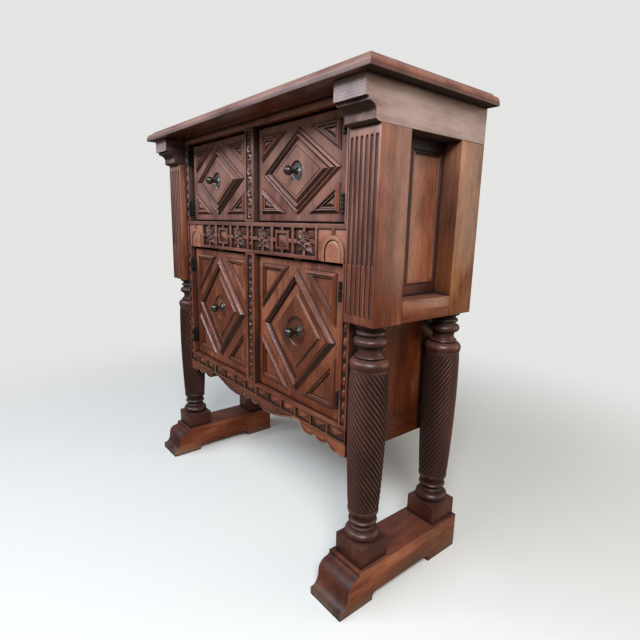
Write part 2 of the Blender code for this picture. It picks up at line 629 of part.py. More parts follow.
def make_hinge(name, side, height, material, parent):
    """A butt hinge: the frame leaf has the end knuckles, the door leaf the middle one and the pin."""
    low, high = height - HINGE_HEIGHT / 2, height + HINGE_HEIGHT / 2
    third = HINGE_HEIGHT / 3
    plate_front = AXIS_Y + KNUCKLE_RADIUS + CLEAR
    plate_back = DOOR_FACE + LEAF_REACH_IN
    frame_x = (OPENING_OUTER - CLEAR - LEAF_THICKNESS, OPENING_OUTER - CLEAR)
    door_x = (DOOR_OUTER + CLEAR, DOOR_OUTER + CLEAR + LEAF_THICKNESS)

    def leaf(part, x, spans, owner):
        plate = block(f"{name}_{part}", (side * x[0], plate_front, low),
                      (side * x[1], plate_back, high), material, owner)
        bm = bmesh.new()
        for z0, z1 in spans:
            knuckle(bm, side, z0, z1, KNUCKLE_RADIUS)
        apply_tool(plate, bm, "UNION")
        bm = bmesh.new()
        for z0, z1 in spans:
            add_block(bm, (side * x[0], AXIS_Y, z0), (side * x[1], plate_front + LEAF_THICKNESS, z1))
        apply_tool(plate, bm, "UNION")
        return plate

    ends = ((low, low + third - CLEAR), (high - third + CLEAR, high))
    frame_leaf = leaf("frame_leaf", frame_x, ends, None)
    bm = bmesh.new()
    for z0, z1 in ends:
        knuckle(bm, side, z0 - LEAF_THICKNESS, z1 + LEAF_THICKNESS, PIN_RADIUS + PIN_CLEAR)
    apply_tool(frame_leaf, bm, "DIFFERENCE")
    door_leaf = leaf("door_leaf", door_x, ((low + third, high - third),), parent)
    bm = bmesh.new()
    knuckle(bm, side, low, high, PIN_RADIUS)
    apply_tool(door_leaf, bm, "UNION")


def make_door(level, name, side, iron, pewter, material):
    """One door with its moulding, knob and hinges, on an empty at its hinge axis."""
    upper = level == "upper"
    opening = (UPPER_BOTTOM, UPPER_TOP) if upper else (LOWER_BOTTOM, LOWER_TOP)
    low, high = opening[0] + CLEAR + DOOR_GAP, opening[1] - DOOR_HEAD_GAP
    title = f"{level}_door_{name}"
    hinge_axis = bpy.data.objects.new(f"{title}_axis", None)
    hinge_axis.location = (side * AXIS_X, AXIS_Y, (low + high) / 2)
    bpy.context.scene.collection.objects.link(hinge_axis)
    bpy.context.view_layer.update()
    middle = (side * DOOR_MIDDLE, (low + high) / 2)
    field, dish = (UPPER_FIELD, UPPER_DISH) if upper else (LOWER_FIELD, LOWER_DISH)
    corner = UPPER_CORNER if upper else LOWER_CORNER
    make_leaf(title, side, low, high, corner, field, dish, material, hinge_axis)
    half, width, steps = UPPER_MOULDING if upper else LOWER_MOULDING
    make_diamond(title, middle, half, width, steps, material, hinge_axis)
    rose, ball = (UPPER_ROSE_RADIUS, UPPER_BALL_RADIUS) if upper else (LOWER_ROSE_RADIUS, LOWER_BALL_RADIUS)
    make_knob(title, middle, dish_bottom(field, dish), rose, ball, pewter, hinge_axis)
    setin = UPPER_HINGE_SETIN if upper else LOWER_HINGE_SETIN
    for place, height in (("top", opening[1] - setin), ("bottom", opening[0] + setin)):
        make_hinge(f"{title}_{place}_hinge", side, height, iron, hinge_axis)


def build():
    for old in list(bpy.data.objects):
        bpy.data.objects.remove(old, do_unlink=True)
    walnut = wood("walnut", (0.20, 0.085, 0.045), 0.42)
    dark_walnut = wood("dark_walnut", (0.10, 0.045, 0.032), 0.38)
    bare_wood = wood("bare_wood", (0.30, 0.17, 0.09), 0.60)
    iron = finish_of("black_iron", (0.03, 0.03, 0.03), 0.55, 0.9)
    pewter = finish_of("dark_pewter", (0.12, 0.12, 0.11), 0.45, 0.9)
    make_top(walnut)
    for name, side in SIDES:
        make_capital(name, side, walnut)
        make_posts(name, side, walnut)
        make_niche(name, side, walnut)
        make_legs(name, side, dark_walnut)
        make_foot(name, side, walnut)
    make_case(walnut, bare_wood)
    make_front(walnut)
    make_apron(walnut)
    for level in ("upper", "lower"):
        for name, side in SIDES:
            make_door(level, name, side, iron, pewter, walnut)


build()
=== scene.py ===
"""Carved walnut sideboard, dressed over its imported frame.

Metres, +Z up, the doors face -Y. Carving is made flat, with x across, y up and z out of the wood, and
then set in its place. Each corner of a mesh keeps its place in the timber, as the attribute grain, so
that the figure runs along every board, rail and bar.
"""

import math
import random

import bmesh
import bpy
from mathutils import Matrix, Vector


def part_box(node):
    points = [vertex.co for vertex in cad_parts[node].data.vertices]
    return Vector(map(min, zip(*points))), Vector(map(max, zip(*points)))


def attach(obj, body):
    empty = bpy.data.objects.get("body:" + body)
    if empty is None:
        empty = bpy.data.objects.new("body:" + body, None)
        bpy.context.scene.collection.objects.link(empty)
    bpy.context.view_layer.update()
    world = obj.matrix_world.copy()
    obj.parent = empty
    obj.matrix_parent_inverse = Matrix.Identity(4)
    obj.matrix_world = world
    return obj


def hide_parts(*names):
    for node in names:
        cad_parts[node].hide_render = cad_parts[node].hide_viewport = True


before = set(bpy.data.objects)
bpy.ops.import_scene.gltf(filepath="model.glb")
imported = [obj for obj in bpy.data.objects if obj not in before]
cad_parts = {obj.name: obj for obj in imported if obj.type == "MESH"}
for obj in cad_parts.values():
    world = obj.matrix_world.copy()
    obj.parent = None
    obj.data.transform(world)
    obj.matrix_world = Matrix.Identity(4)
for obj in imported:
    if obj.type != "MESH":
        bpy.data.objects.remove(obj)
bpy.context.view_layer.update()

DRAW = random.Random(5)
ACROSS, DEEP, UP = Vector((1, 0, 0)), Vector((0, 1, 0)), Vector((0, 0, 1))
SIDES = (("left", -1), ("right", 1))
EDGE = 0.0014  # softened arris of a board
SHARP, CRISP = math.radians(33), math.radians(12)
SUNK = 0.001  # of applied carving, into what carries it

# Places that the carving keeps to
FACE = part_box("top_rail")[0].y
FRAME_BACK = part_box("top_rail")[1].y
DOOR_FACE = -0.1144
CASE_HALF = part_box("top_rail")[1].x
POST_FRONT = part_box("front_post_right")[0].y
DOOR_MIDDLE = 0.2147
AXIS_X, AXIS_Y = 0.4032, -0.1324


class Wire:
    """A socket that gives a value, with the sums that a finish needs."""

    def __init__(self, finish, socket):
        self.finish = finish
        self.socket = socket

    def sum(self, operation, first, second):
        return self.finish.node("ShaderNodeMath", {"operation": operation}, {0: first, 1: second})

    def __add__(self, other):
        return self.sum("ADD", self, other)

    def __sub__(self, other):
        return self.sum("SUBTRACT", self, other)

    def __rsub__(self, other):
        return self.sum("SUBTRACT", other, self)

    def __mul__(self, other):
        return self.sum("MULTIPLY", self, other)


class Finish:
    """The nodes of a material, on one Principled shader, or of a world."""

    def __init__(self, owner):
        owner.use_nodes = True
        self.material = owner
        self.tree = owner.node_tree
        self.shader = self.tree.nodes.get("Principled BSDF")

    def node(self, kind, settings, sockets, out=0):
        """Adds a node: its settings come first, then the values or links of its sockets."""
        made = self.tree.nodes.new(kind)
        for name, value in settings.items():
            if name == "stops":
                self.set_stops(made.color_ramp, value)
            else:
                setattr(made, name, value)
        for name, value in sockets.items():
            self.feed(made.inputs[name], value)
        return Wire(self, made.outputs[out])

    def set_stops(self, ramp, stops):
        while len(ramp.elements) < len(stops):
            ramp.elements.new(0.5)
        for element, (place, colour) in zip(ramp.elements, stops):
            element.position = place
            element.color = (*colour, 1.0)

    def feed(self, socket, value):
        if isinstance(value, Wire):
            self.tree.links.new(value.socket, socket)
        else:
            socket.default_value = value

    def set(self, **values):
        for name, value in values.items():
            self.feed(self.shader.inputs[name.replace("_", " ")], value)

    def attribute(self, name, out):
        return self.node("ShaderNodeAttribute", {"attribute_name": name}, {}, out)

    def noise(self, at, scale, detail=2.0, rough=0.5, bend=0.0):
        """Noise on a place in the timber, scaled apart along each axis."""
        place = self.node("ShaderNodeVectorMath", {"operation": "MULTIPLY"}, {0: at, 1: scale})
        sockets = {"Vector": place, "Scale": 1.0, "Detail": detail, "Roughness": rough, "Distortion": bend}
        return self.node("ShaderNodeTexNoise", {}, sockets)

    def between(self, value, low, high):
        """0 at low and 1 at high, eased; low may be the larger."""
        sockets = {"Value": value, "From Min": low, "From Max": high}
        return self.node("ShaderNodeMapRange", {"interpolation_type": "SMOOTHSTEP"}, sockets)

    def part(self, vector, axis):
        return self.node("ShaderNodeSeparateXYZ", {}, {0: vector}, axis)

    def mix(self, share, first, second):
        return self.node("ShaderNodeMix", {"data_type": "RGBA"}, {0: share, 6: first, 7: second}, 2)

    def hollows(self, reach, inside=False):
        """Open sky seen from a point, within reach: low in corners or, from inside, at sharp edges."""
        settings = {"samples": 8, "inside": inside}
        return self.node("ShaderNodeAmbientOcclusion", settings, {"Distance": reach}, "AO")

    def bump(self, height, strength, distance):
        sockets = {"Height": height, "Strength": strength, "Distance": distance}
        return self.node("ShaderNodeBump", {}, sockets)


def opaque(colour):
    return (*colour, 1.0)


# The first colour is partly settled dirt and partly a painted sheen of reflected light, the second a painted
# grey reflection on end grain, the third dirt from the floor.
DUST_AND_SHEEN, END_GRAIN_SHEEN, FLOOR_DIRT = (0.300, 0.235, 0.220), (0.290, 0.250, 0.262), (0.150, 0.120, 0.092)


def timber(name, deep, middle, pale, worn, rough, dust_and_sheen_everywhere=0.0, end_grain=0.0, front_dust_and_sheen=0.24):
    """Waxed wood: bands, rings and pores along the grain, rubbed at the edges, with dark wax and
    painted shade in the hollows and painted shade under what looks down.

    It is greyed where it looks up, looks to the front or stands high: partly by settled dirt, partly as
    a painted sheen of reflected light. It is scuffed just above the floor. The arguments after the roughness
    say how much of that grey lies everywhere, how plainly the ends of the fibres show in front, under a
    painted grey reflection, and how much of that grey lies on high fronts.
    """
    finish = Finish(bpy.data.materials.new(name))
    at = finish.attribute("grain", "Vector")
    tone = finish.attribute("tone", "Fac")
    normal = finish.node("ShaderNodeNewGeometry", {}, {}, "Normal")
    height = finish.part(finish.node("ShaderNodeTexCoord", {}, {}, "Object"), "Z")
    bands = finish.noise(at, (18.0, 18.0, 1.5), 4.0, 0.55, 1.0)
    streaks = finish.noise(at, (150.0, 150.0, 5.0), 3.0, 0.6)
    fibres = finish.noise(at, (800.0, 800.0, 22.0), 2.0)
    blotches = finish.noise(at, (13.0, 13.0, 5.0), 4.0, 0.6)
    rings = finish.between(finish.noise(at, (95.0, 420.0, 2.4), 2.0), 0.56, 0.70)
    pores = finish.between(finish.noise(at, (1300.0, 1300.0, 60.0), 1.0), 0.60, 0.72)
    # Painted shade: faces that look down are made darker, as if in their own shade, and they are kept free of
    # the grey.
    under = finish.between(finish.part(normal, "Z"), -0.05, -0.48)
    shade = bands * 0.44 + streaks * 0.24 + blotches * 1.00 + fibres * 0.24 + tone - under * 0.36 - 0.45
    stops = ((0.0, [part * 0.30 for part in deep]), (0.19, deep), (0.52, middle), (0.88, pale))
    colour = finish.node("ShaderNodeValToRGB", {"stops": stops}, {0: shade})
    waves = finish.part(at, "Y") * 1100.0 + bands * 7.0
    dashes = finish.between(waves.sum("SINE", waves, 0.0), 0.10, 0.85)
    dashes = dashes * finish.between(finish.noise(at, (150.0, 120.0, 2.0), 2.0), 0.38, 0.54)
    # On the front faces of end grain: a painted grey reflection of the sky, and dark dashes that are the
    # pores.
    facing = finish.between(finish.part(normal, "Y"), -0.70, -0.96)
    ends = facing * finish.between(tone, -0.30, -0.12) * end_grain
    colour = finish.mix(ends * 0.8, colour, opaque(END_GRAIN_SHEEN))
    dark = rings * (0.17 - 0.25 * end_grain) + pores * (0.40 - 0.30 * end_grain) + dashes * ends
    colour = finish.mix(dark, colour, opaque([part * 0.40 for part in deep]))
    # Settled dirt and a painted sheen of reflected light together: grey on faces that look up, on high fronts
    # and, for some woods, everywhere; none on faces that look down.
    high = finish.between(height, 0.50, 1.12)
    above = finish.between(finish.part(normal, "Z"), 0.08, 0.80)
    dust_and_sheen = above * (high * 0.22 + 0.06) + high * (facing * front_dust_and_sheen + high * 0.10) + dust_and_sheen_everywhere
    dust_and_sheen = dust_and_sheen * finish.between(blotches, 0.14, 0.58) * finish.between(tone, -0.45, -0.10)
    dust_and_sheen = dust_and_sheen * (1 - under)
    colour = finish.mix(dust_and_sheen, colour, opaque(DUST_AND_SHEEN))
    scuffed = finish.between(height, 0.034, 0.002) * finish.between(blotches, 0.30, 0.60)
    colour = finish.mix(scuffed * 0.65, colour, opaque(FLOOR_DIRT))
    edges = finish.between(finish.hollows(0.0025, True), 0.72, 0.40)
    rubbed = edges * finish.between(blotches, 0.35, 0.62) * finish.between(tone, -0.14, -0.02)
    colour = finish.mix(rubbed * 0.50, colour, opaque(worn))
    # Dark wax in the hollows together with painted shade: darker where little open sky is seen from a point,
    # less on faces that look up.
    grime_and_shade = finish.between(finish.hollows(0.013), 0.91, 0.46)
    colour = finish.mix(grime_and_shade * (0.93 - above * 0.55), colour, opaque([part * 0.12 for part in deep]))
    finish.set(Base_Color=colour, Specular_IOR_Level=0.38)
    dull = finish.between(tone, -0.04, -0.20)
    finish.set(Roughness=streaks * 0.20 + grime_and_shade * 0.30 + dust_and_sheen * 0.30 + dull * 0.34 + (rough - 0.10))
    finish.set(Normal=finish.bump(fibres * 0.5 - pores + streaks * 1.5, 0.35, 0.0003))
    return finish.material


def metal(name, colour, bare, rough, metallic):
    """Old cast or wrought metal: mottled, rubbed bright on its edges, dull in its hollows."""
    finish = Finish(bpy.data.materials.new(name))
    at = finish.node("ShaderNodeTexCoord", {}, {}, "Object")
    mottle = finish.noise(at, (260.0, 260.0, 260.0), 4.0, 0.6)
    grit = finish.noise(at, (1400.0, 1400.0, 1400.0), 2.0)
    edges = finish.between(finish.hollows(0.0012, True), 0.75, 0.45)
    dark = opaque([part * 0.55 for part in colour])
    shade = finish.mix(finish.between(mottle, 0.35, 0.70), dark, opaque(colour))
    bright = edges * 0.6 + finish.attribute("tone", "Fac")
    finish.set(Base_Color=finish.mix(bright, shade, opaque(bare)), Metallic=metallic)
    finish.set(Roughness=mottle * 0.3 + (rough - 0.15))
    finish.set(Normal=finish.bump(grit + mottle, 0.25, 0.0003))
    return finish.material


WALNUT = timber("walnut", (0.033, 0.0066, 0.0028), (0.122, 0.0262, 0.0086), (0.326, 0.112, 0.053),
                (0.40, 0.20, 0.10), 0.22)
# Pale wood for the capitals: its paleness is partly its colour and partly a painted sheen of reflected light.
PALE_SHEEN_WALNUT = timber("pale_sheen_walnut", (0.125, 0.056, 0.045), (0.325, 0.208, 0.178), (0.565, 0.416, 0.362),
                      (0.60, 0.42, 0.34), 0.34, 0.04, 0.62)
GOLDEN_WALNUT = timber("golden_walnut", (0.045, 0.0120, 0.0032), (0.142, 0.0415, 0.0112),
                       (0.372, 0.160, 0.066), (0.42, 0.24, 0.12), 0.24, front_dust_and_sheen=0.0)
DARK_WALNUT = timber("dark_walnut", (0.014, 0.0036, 0.0024), (0.042, 0.0096, 0.0050), (0.110, 0.030, 0.016),
                     (0.18, 0.080, 0.052), 0.34)
BARE_WOOD = timber("bare_wood", (0.090, 0.038, 0.018), (0.200, 0.098, 0.048), (0.320, 0.175, 0.092),
                   (0.36, 0.21, 0.12), 0.62)
BLACK_IRON = metal("black_iron", (0.022, 0.021, 0.021), (0.16, 0.15, 0.14), 0.50, 0.75)
DARK_PEWTER = metal("dark_pewter", (0.072, 0.063, 0.056), (0.40, 0.40, 0.41), 0.32, 0.85)


def fresh():
    bm = bmesh.new()
    bm.loops.layers.float_vector.new("grain")
    bm.loops.layers.float.new("tone")
    return bm


def lay(bm, along, tone=0.0, faces=None):
    """Notes each corner's place in a plank of its own: the grain runs along, and starts anywhere."""
    grain = bm.loops.layers.float_vector["grain"]
    shade = bm.loops.layers.float["tone"]
    turn = Vector(along).rotation_difference(UP).to_matrix()
    start = Vector([DRAW.uniform(-5, 5) for _ in range(3)])
    own = tone + DRAW.uniform(-0.05, 0.05)
    for face in faces or bm.faces:
        for loop in face.loops:
            loop[grain] = turn @ loop.vert.co + start
            loop[shade] = own
    return bm


def tint(bm, change, chosen):
    """Makes faces paler or darker, chosen by the way that they look and by where their middle is."""
    shade = bm.loops.layers.float["tone"]
    bm.normal_update()
    for face in bm.faces:
        if chosen(face.normal, face.calc_center_median()):
            for loop in face.loops:
                loop[shade] += change


def paler_upwards(bm, change, low, high):
    """Makes a piece paler towards its head: unchanged at low, and by all of the change at high."""
    shade = bm.loops.layers.float["tone"]
    for face in bm.faces:
        for loop in face.loops:
            loop[shade] += change * (loop.vert.co.z - low) / (high - low)


def into(bm, part, place=None):
    """Sets a finished part in its place in a larger piece."""
    if place:
        bmesh.ops.transform(part, matrix=place, verts=part.verts)
    mesh = bpy.data.meshes.new("part")
    part.to_mesh(mesh)
    part.free()
    bm.from_mesh(mesh)
    bpy.data.meshes.remove(mesh)


def placed(part, place):
    """A piece that holds one part, in its place."""
    whole = fresh()
    into(whole, part, place)
    return whole


def close(bm):
    bmesh.ops.holes_fill(bm, edges=[edge for edge in bm.edges if edge.is_boundary], sides=0)


def split(bm, place, normal, outer=False, inner=False):
    """Splits faces along a plane; what lies outside or inside of it can go, and the cut is closed."""
    everything = bm.verts[:] + bm.edges[:] + bm.faces[:]
    bmesh.ops.bisect_plane(bm, geom=everything, plane_co=place, plane_no=normal, clear_outer=outer,
                           clear_inner=inner)
    if outer or inner:
        close(bm)


def piece(name, bm, finish, nodes, body="case", sharp=SHARP):
    """A finished piece in the frame's own axes, on the body that carries it."""
    bmesh.ops.recalc_face_normals(bm, faces=bm.faces)
    mesh = bpy.data.meshes.new(name)
    bm.to_mesh(mesh)
    bm.free()
    mesh.materials.append(finish)
    mesh.shade_smooth()
    mesh.set_sharp_from_angle(angle=sharp)
    made = bpy.data.objects.new(name, mesh)
    bpy.context.scene.collection.objects.link(made)
    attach(made, body)
    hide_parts(*nodes)


def front(y):
    """Puts carving on a face that looks to the front."""
    return Matrix(((1, 0, 0, 0), (0, 0, -1, y), (0, 1, 0, 0), (0, 0, 0, 1)))


def outward(sign, low, high):
    """Puts carving on the outer side of a box; its x runs along sign times Y."""
    x = max(abs(low.x), abs(high.x))
    return Matrix(((0, 0, sign, sign * x), (sign, 0, 0, 0), (0, 1, 0, 0), (0, 0, 0, 1)))


def anticlockwise(outline):
    area = sum(a[0] * b[1] - b[0] * a[1] for a, b in zip(outline, outline[1:] + outline[:1]))
    return outline if area > 0 else outline[::-1]


def rectangle(x0, y0, x1, y1):
    left, right = sorted((x0, x1))
    return [(left, y0), (right, y0), (right, y1), (left, y1)]


def oval(x, y, radii, steps):
    return arc((x, y), radii, 0, 360, steps)[:-1]


def arc(centre, radii, start, end, steps):
    points = []
    for i in range(steps + 1):
        angle = math.radians(start + (end - start) * i / steps)
        points.append((centre[0] + radii[0] * math.cos(angle), centre[1] + radii[1] * math.sin(angle)))
    return points


def slot_outline(x, low, high, half):
    """A groove's outline, round at both ends."""
    return arc((x, high - half), (half, half), 0, 180, 8) + arc((x, low + half), (half, half), 180, 360, 8)


def shrunk(outline, inset):
    """A convex outline with its sides moved in."""
    return [(corner.x + inset * mitre.x, corner.y + inset * mitre.y) for corner, mitre in mitres(outline)]


def mitres(outline):
    """Each corner with the way that it moves as both its sides move in by one."""
    corners = [Vector(point) for point in outline]
    found = []
    for i, corner in enumerate(corners):
        before = (corner - corners[i - 1]).normalized()
        after = (corners[(i + 1) % len(corners)] - corner).normalized()
        first, second = Vector((-before.y, before.x)), Vector((-after.y, after.x))
        found.append((corner, (first + second) / (1 + first.dot(second))))
    return found


def work(bm, face, steps):
    """Works a face step by step: each moves its outline in, and lifts or sinks what is inside."""
    for inset, rise in steps:
        bmesh.ops.inset_region(bm, faces=[face], thickness=inset, depth=rise, use_even_offset=True,
                               use_boundary=True)


def rounding(edge):
    return ((edge * 0.3, edge * 0.7), (edge * 0.7, edge * 0.3))


def plate(outline, thickness, edge=EDGE, steps=(), forms=()):
    """A flat piece with soft arrises and its face at z 0, worked in steps or with forms worked into it."""
    bm = fresh()
    outline = anticlockwise(outline)
    back = bm.faces.new([bm.verts.new((x, y, edge - thickness)) for x, y in outline])
    drawn = bmesh.ops.extrude_face_region(bm, geom=[back])["geom"]
    face = [part for part in drawn if isinstance(part, bmesh.types.BMFace)][0]
    bmesh.ops.translate(bm, vec=(0, 0, thickness - 2 * edge), verts=face.verts)
    for side, way in ((face, 1), (back, -1)):
        side.normal_update()
        if side.normal.z * way < 0:
            side.normal_flip()
        work(bm, side, rounding(edge))
    work(bm, face, steps)
    if forms:
        carve(bm, face, forms)
    return bm


def carve(bm, face, forms):
    """Works several outlines into one flat face."""
    edges = list(face.edges)
    level = face.verts[0].co.z
    bmesh.ops.delete(bm, geom=[face], context="FACES_ONLY")
    faces = []
    for outline, _ in forms:
        faces.append(bm.faces.new([bm.verts.new((x, y, level)) for x, y in anticlockwise(outline)]))
        edges += faces[-1].edges
    bmesh.ops.triangle_fill(bm, use_beauty=True, edges=edges, normal=(0, 0, 1))
    for made, (_, steps) in zip(faces, forms):
        work(bm, made, steps)


MOULDING_FOOT, FOOT_SHADE = 0.0024, -0.66  # up to this height a moulding's foot is darkened as painted shade


def mitred(outline, section, tone=0.0):
    """Bars of moulding round an outline, mitred at its corners; section holds (inset, height)."""
    bm = fresh()
    loops = []
    outline = anticlockwise(outline)
    for corner, mitre in mitres(outline):
        row = [bm.verts.new((corner.x + mitre.x * inset, corner.y + mitre.y * inset, height))
               for inset, height in section]
        loops.append([bm.edges.new(pair) for pair in zip(row, row[1:] + row[:1])])
    for i, loop in enumerate(loops):
        j = (i + 1) % len(loops)
        faces = bmesh.ops.bridge_loops(bm, edges=loop + loops[j])["faces"]
        run = Vector(outline[j]) - Vector(outline[i])
        lay(bm, run.to_3d(), tone, faces)
    # Painted shade along the foot of the moulding.
    tint(bm, FOOT_SHADE, lambda way, mid: mid.z < MOULDING_FOOT)
    return bm


def turned(profile, steps):
    """A turning about z; profile holds (radius, height) and ends on the axis."""
    bm = fresh()
    row = [bm.verts.new((radius, 0, height)) for radius, height in profile]
    edges = [bm.edges.new(pair) for pair in zip(row, row[1:])]
    bmesh.ops.spin(bm, geom=row + edges, cent=(0, 0, 0), axis=UP, angle=math.tau, steps=steps, use_merge=True)
    bmesh.ops.remove_doubles(bm, verts=bm.verts, dist=1e-6)
    return bm


def board(low, high, along, tone=0.0, edge=EDGE):
    bm = fresh()
    low, high = Vector(map(min, low, high)), Vector(map(max, low, high))
    bmesh.ops.create_cube(bm, size=1.0)
    bmesh.ops.scale(bm, vec=high - low, verts=bm.verts)
    bmesh.ops.translate(bm, vec=(low + high) / 2, verts=bm.verts)
    bmesh.ops.bevel(bm, geom=bm.edges[:], offset=edge, segments=2, profile=0.5, affect="EDGES", material=-1)
    return lay(bm, along, tone)


def plain_board(node, name, along, tone=0.0, finish=None, dark=None):
    """A board in the place of its node; dark holds a change of tone, and which faces take it."""
    low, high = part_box(node)
    bm = board(low, high, along, tone)
    if dark:
        tint(bm, *dark)
    piece(name, bm, finish or WALNUT, [node])


def dome(radii, rise, steps=16):
    """A round boss, half sunk where it is set, with its middle at the origin."""
    crown = [(math.cos(angle), math.sin(angle)) for angle in (0.0, 0.35, 0.7, 1.05, 1.35)]
    profile = [(0, -SUNK), (1, -SUNK), *crown, (0, 1)]
    bm = turned(profile, steps)
    bmesh.ops.scale(bm, vec=(radii[0], radii[1], rise), verts=bm.verts)
    return bm


def petal(length, width, rise, hollow=False):
    """A pointed leaf from the origin along y, with a ridge or a hollow down its middle."""
    half = width / 2
    side = [(half * 0.55, length * 0.14), (half, length * 0.42), (half * 0.8, length * 0.70)]
    outline = [(0, 0), *side, (0, length), *[(-x, y) for x, y in reversed(side)]]
    steps = ((half * 0.42, rise * 0.65), (half * 0.36, rise * 0.35))
    if hollow:
        steps = ((half * 0.32, rise), (half * 0.36, -rise * 0.5))
    return plate(outline, 2 * SUNK, 0.0004, steps)


def at(x, y, z=0.0, degrees=0.0):
    return Matrix.Translation((x, y, z)) @ Matrix.Rotation(math.radians(degrees), 4, "Z")


# Top board

TOP_ROUND_SETBACK, TOP_ROUND_HEIGHT = 0.0137, 0.0165
TOP_SLAB, TOP_SHADE_LINE = 0.0064, 0.0090  # heights of the square edge, and up to which the edge is darkened as painted shade
TOP_LIP = ((0.0014, -0.0016), (0.0010, 0.0041), (0.0022, 0.0026), (0.0024, 0.0020), (0.0025, 0.0014))
SAWN_OFF = 0.06  # length behind the back edge, cut away so that the moulding ends square


def make_top():
    low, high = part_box("top_board")
    round_edge = arc((TOP_ROUND_SETBACK, 0), (TOP_ROUND_SETBACK, TOP_ROUND_HEIGHT), 180, 90, 9)
    steps = [(b[0] - a[0], b[1] - a[1]) for a, b in zip(round_edge, round_edge[1:])]
    steps += TOP_LIP
    bm = plate(rectangle(low.x, low.y, high.x, high.y + SAWN_OFF), TOP_SLAB, 0.0006, steps)
    bmesh.ops.translate(bm, vec=(0, 0, low.z + TOP_SLAB), verts=bm.verts)
    split(bm, (0, high.y, 0), DEEP, outer=True)
    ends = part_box("capital_right")[1].x
    for x in (-ends, ends):
        split(bm, (x, 0, 0), ACROSS)
    line = low.z + TOP_SHADE_LINE
    lay(bm, ACROSS, 0.04)
    # Painted light and shade: the underside is lifted a little and darkened beyond the capitals as painted
    # shadow; the lower edge is darkened and the upper bevel lightened as if lit from above.
    tint(bm, 0.06, lambda way, mid: way.z < -0.9)
    tint(bm, -0.50, lambda way, mid: way.z < -0.9 and abs(mid.x) > ends)
    tint(bm, -0.24, lambda way, mid: abs(way.z) < 0.5 and mid.z < line)
    tint(bm, 0.05, lambda way, mid: 0.2 < way.z < 0.98 and line < mid.z)
    piece("moulded_top", bm, WALNUT, ["top_board"])


# Trestles

CAPITAL_REACH, FASCIA_HEIGHT, CAPITAL_STEP, CAPITAL_FILLET = 0.046, 0.0399, 0.009, 0.007
HOLLOW_REACH, HOLLOW_HEIGHT, QUARTER_ROUND = 0.015, 0.017, 0.006
FLUTE_COUNT, FLUTE_PITCH, FLUTE_HALF, FLUTE_MARGIN = 6, 0.0142, 0.0042, 0.0175
ROD_TOP, ROD_GAP, ROD_SHARE, ROD_LEVEL = 0.811, 0.0012, 0.80, 0.0038  # rods that lie in the flutes


def make_capital(side, sign):
    low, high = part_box(f"capital_{side}")
    post = POST_FRONT
    fillet_top = high.z - FASCIA_HEIGHT
    hollow_top = fillet_top - CAPITAL_FILLET
    fillet = post - CAPITAL_REACH + CAPITAL_STEP
    outline = [(low.y, high.z), (low.y, fillet_top), (fillet, fillet_top)]
    hollow = (post - HOLLOW_REACH - fillet, HOLLOW_HEIGHT)
    outline += arc((fillet, hollow_top - HOLLOW_HEIGHT), hollow, 90, 0, 12)
    outline += arc((post, low.z + QUARTER_ROUND), (-HOLLOW_REACH, QUARTER_ROUND), 0, -90, 8)
    outline += [(high.y, low.z), (high.y, high.z)]
    bm = plate([(sign * y, z) for y, z in outline], high.x - low.x, 0.0012)
    lay(bm, ACROSS, -0.03)
    # Painted shade: the underside and the inner side are darkened, and so are the faces of the profile and,
    # more, the moulding under the fascia, against the side with its painted sheen.
    tint(bm, -0.80, lambda way, mid: way.y < -0.95)
    tint(bm, -0.40, lambda way, mid: way.z < -0.9)
    tint(bm, -0.15, lambda way, mid: abs(way.z) < 0.5)
    moulded = fillet_top + 0.001
    tint(bm, -0.14, lambda way, mid: abs(way.z) < 0.5 and mid.y < moulded)
    whole = placed(bm, outward(sign, low, high))
    piece(f"capital_plank_{side}", whole, PALE_SHEEN_WALNUT, [f"capital_{side}"])


ROUND_SPAN, ROUND_STEPS = 1.46, 8  # radians of a round section, from its side to its middle


def half_round(half, depth, way):
    """Steps of a groove or a rod with a round section."""
    angles = [ROUND_SPAN * i / ROUND_STEPS for i in range(ROUND_STEPS + 1)]
    points = [(half * (1 - math.cos(angle)), way * depth * math.sin(angle)) for angle in angles]
    return [(b[0] - a[0], b[1] - a[1]) for a, b in zip(points, points[1:])]


def make_posts(side):
    node = f"front_post_{side}"
    low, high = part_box(node)
    middle = (low.x + high.x) / 2
    xs = [middle + (i - (FLUTE_COUNT - 1) / 2) * FLUTE_PITCH for i in range(FLUTE_COUNT)]
    foot, head = low.z + FLUTE_MARGIN, high.z - FLUTE_MARGIN
    flutes = [(slot_outline(x, foot, head, FLUTE_HALF), half_round(FLUTE_HALF, FLUTE_HALF, -1)) for x in xs]
    post = plate(rectangle(low.x, low.z, high.x, high.z), high.y - low.y, 0.0018, forms=flutes)
    lay(post, DEEP, 0.02)
    # Painted shade deep in the flutes.
    tint(post, -0.24, lambda way, mid: -0.006 < mid.z < -0.0016)
    whole = placed(post, front(low.y))
    half = FLUTE_HALF * ROD_SHARE
    for x in xs:
        outline = slot_outline(x, foot + ROD_GAP, ROD_TOP, half)
        rod = plate(outline, 0.002, 0.0002, half_round(half, half, 1))
        into(whole, lay(rod, DEEP, 0.02), front(low.y + ROD_LEVEL))
    paler_upwards(whole, 0.17, low.z, high.z)
    piece(f"fluted_post_{side}", whole, WALNUT, [node])
    # The rear post's face towards the front is darkened as painted shade in the niche.
    plain_board(f"rear_post_{side}", f"plain_post_{side}", UP, 0.14, GOLDEN_WALNUT,
                dark=(-0.26, lambda way, mid: way.y < -0.9))
    plain_board(f"lower_rail_{side}", f"niche_rail_{side}", DEEP, 0.08)


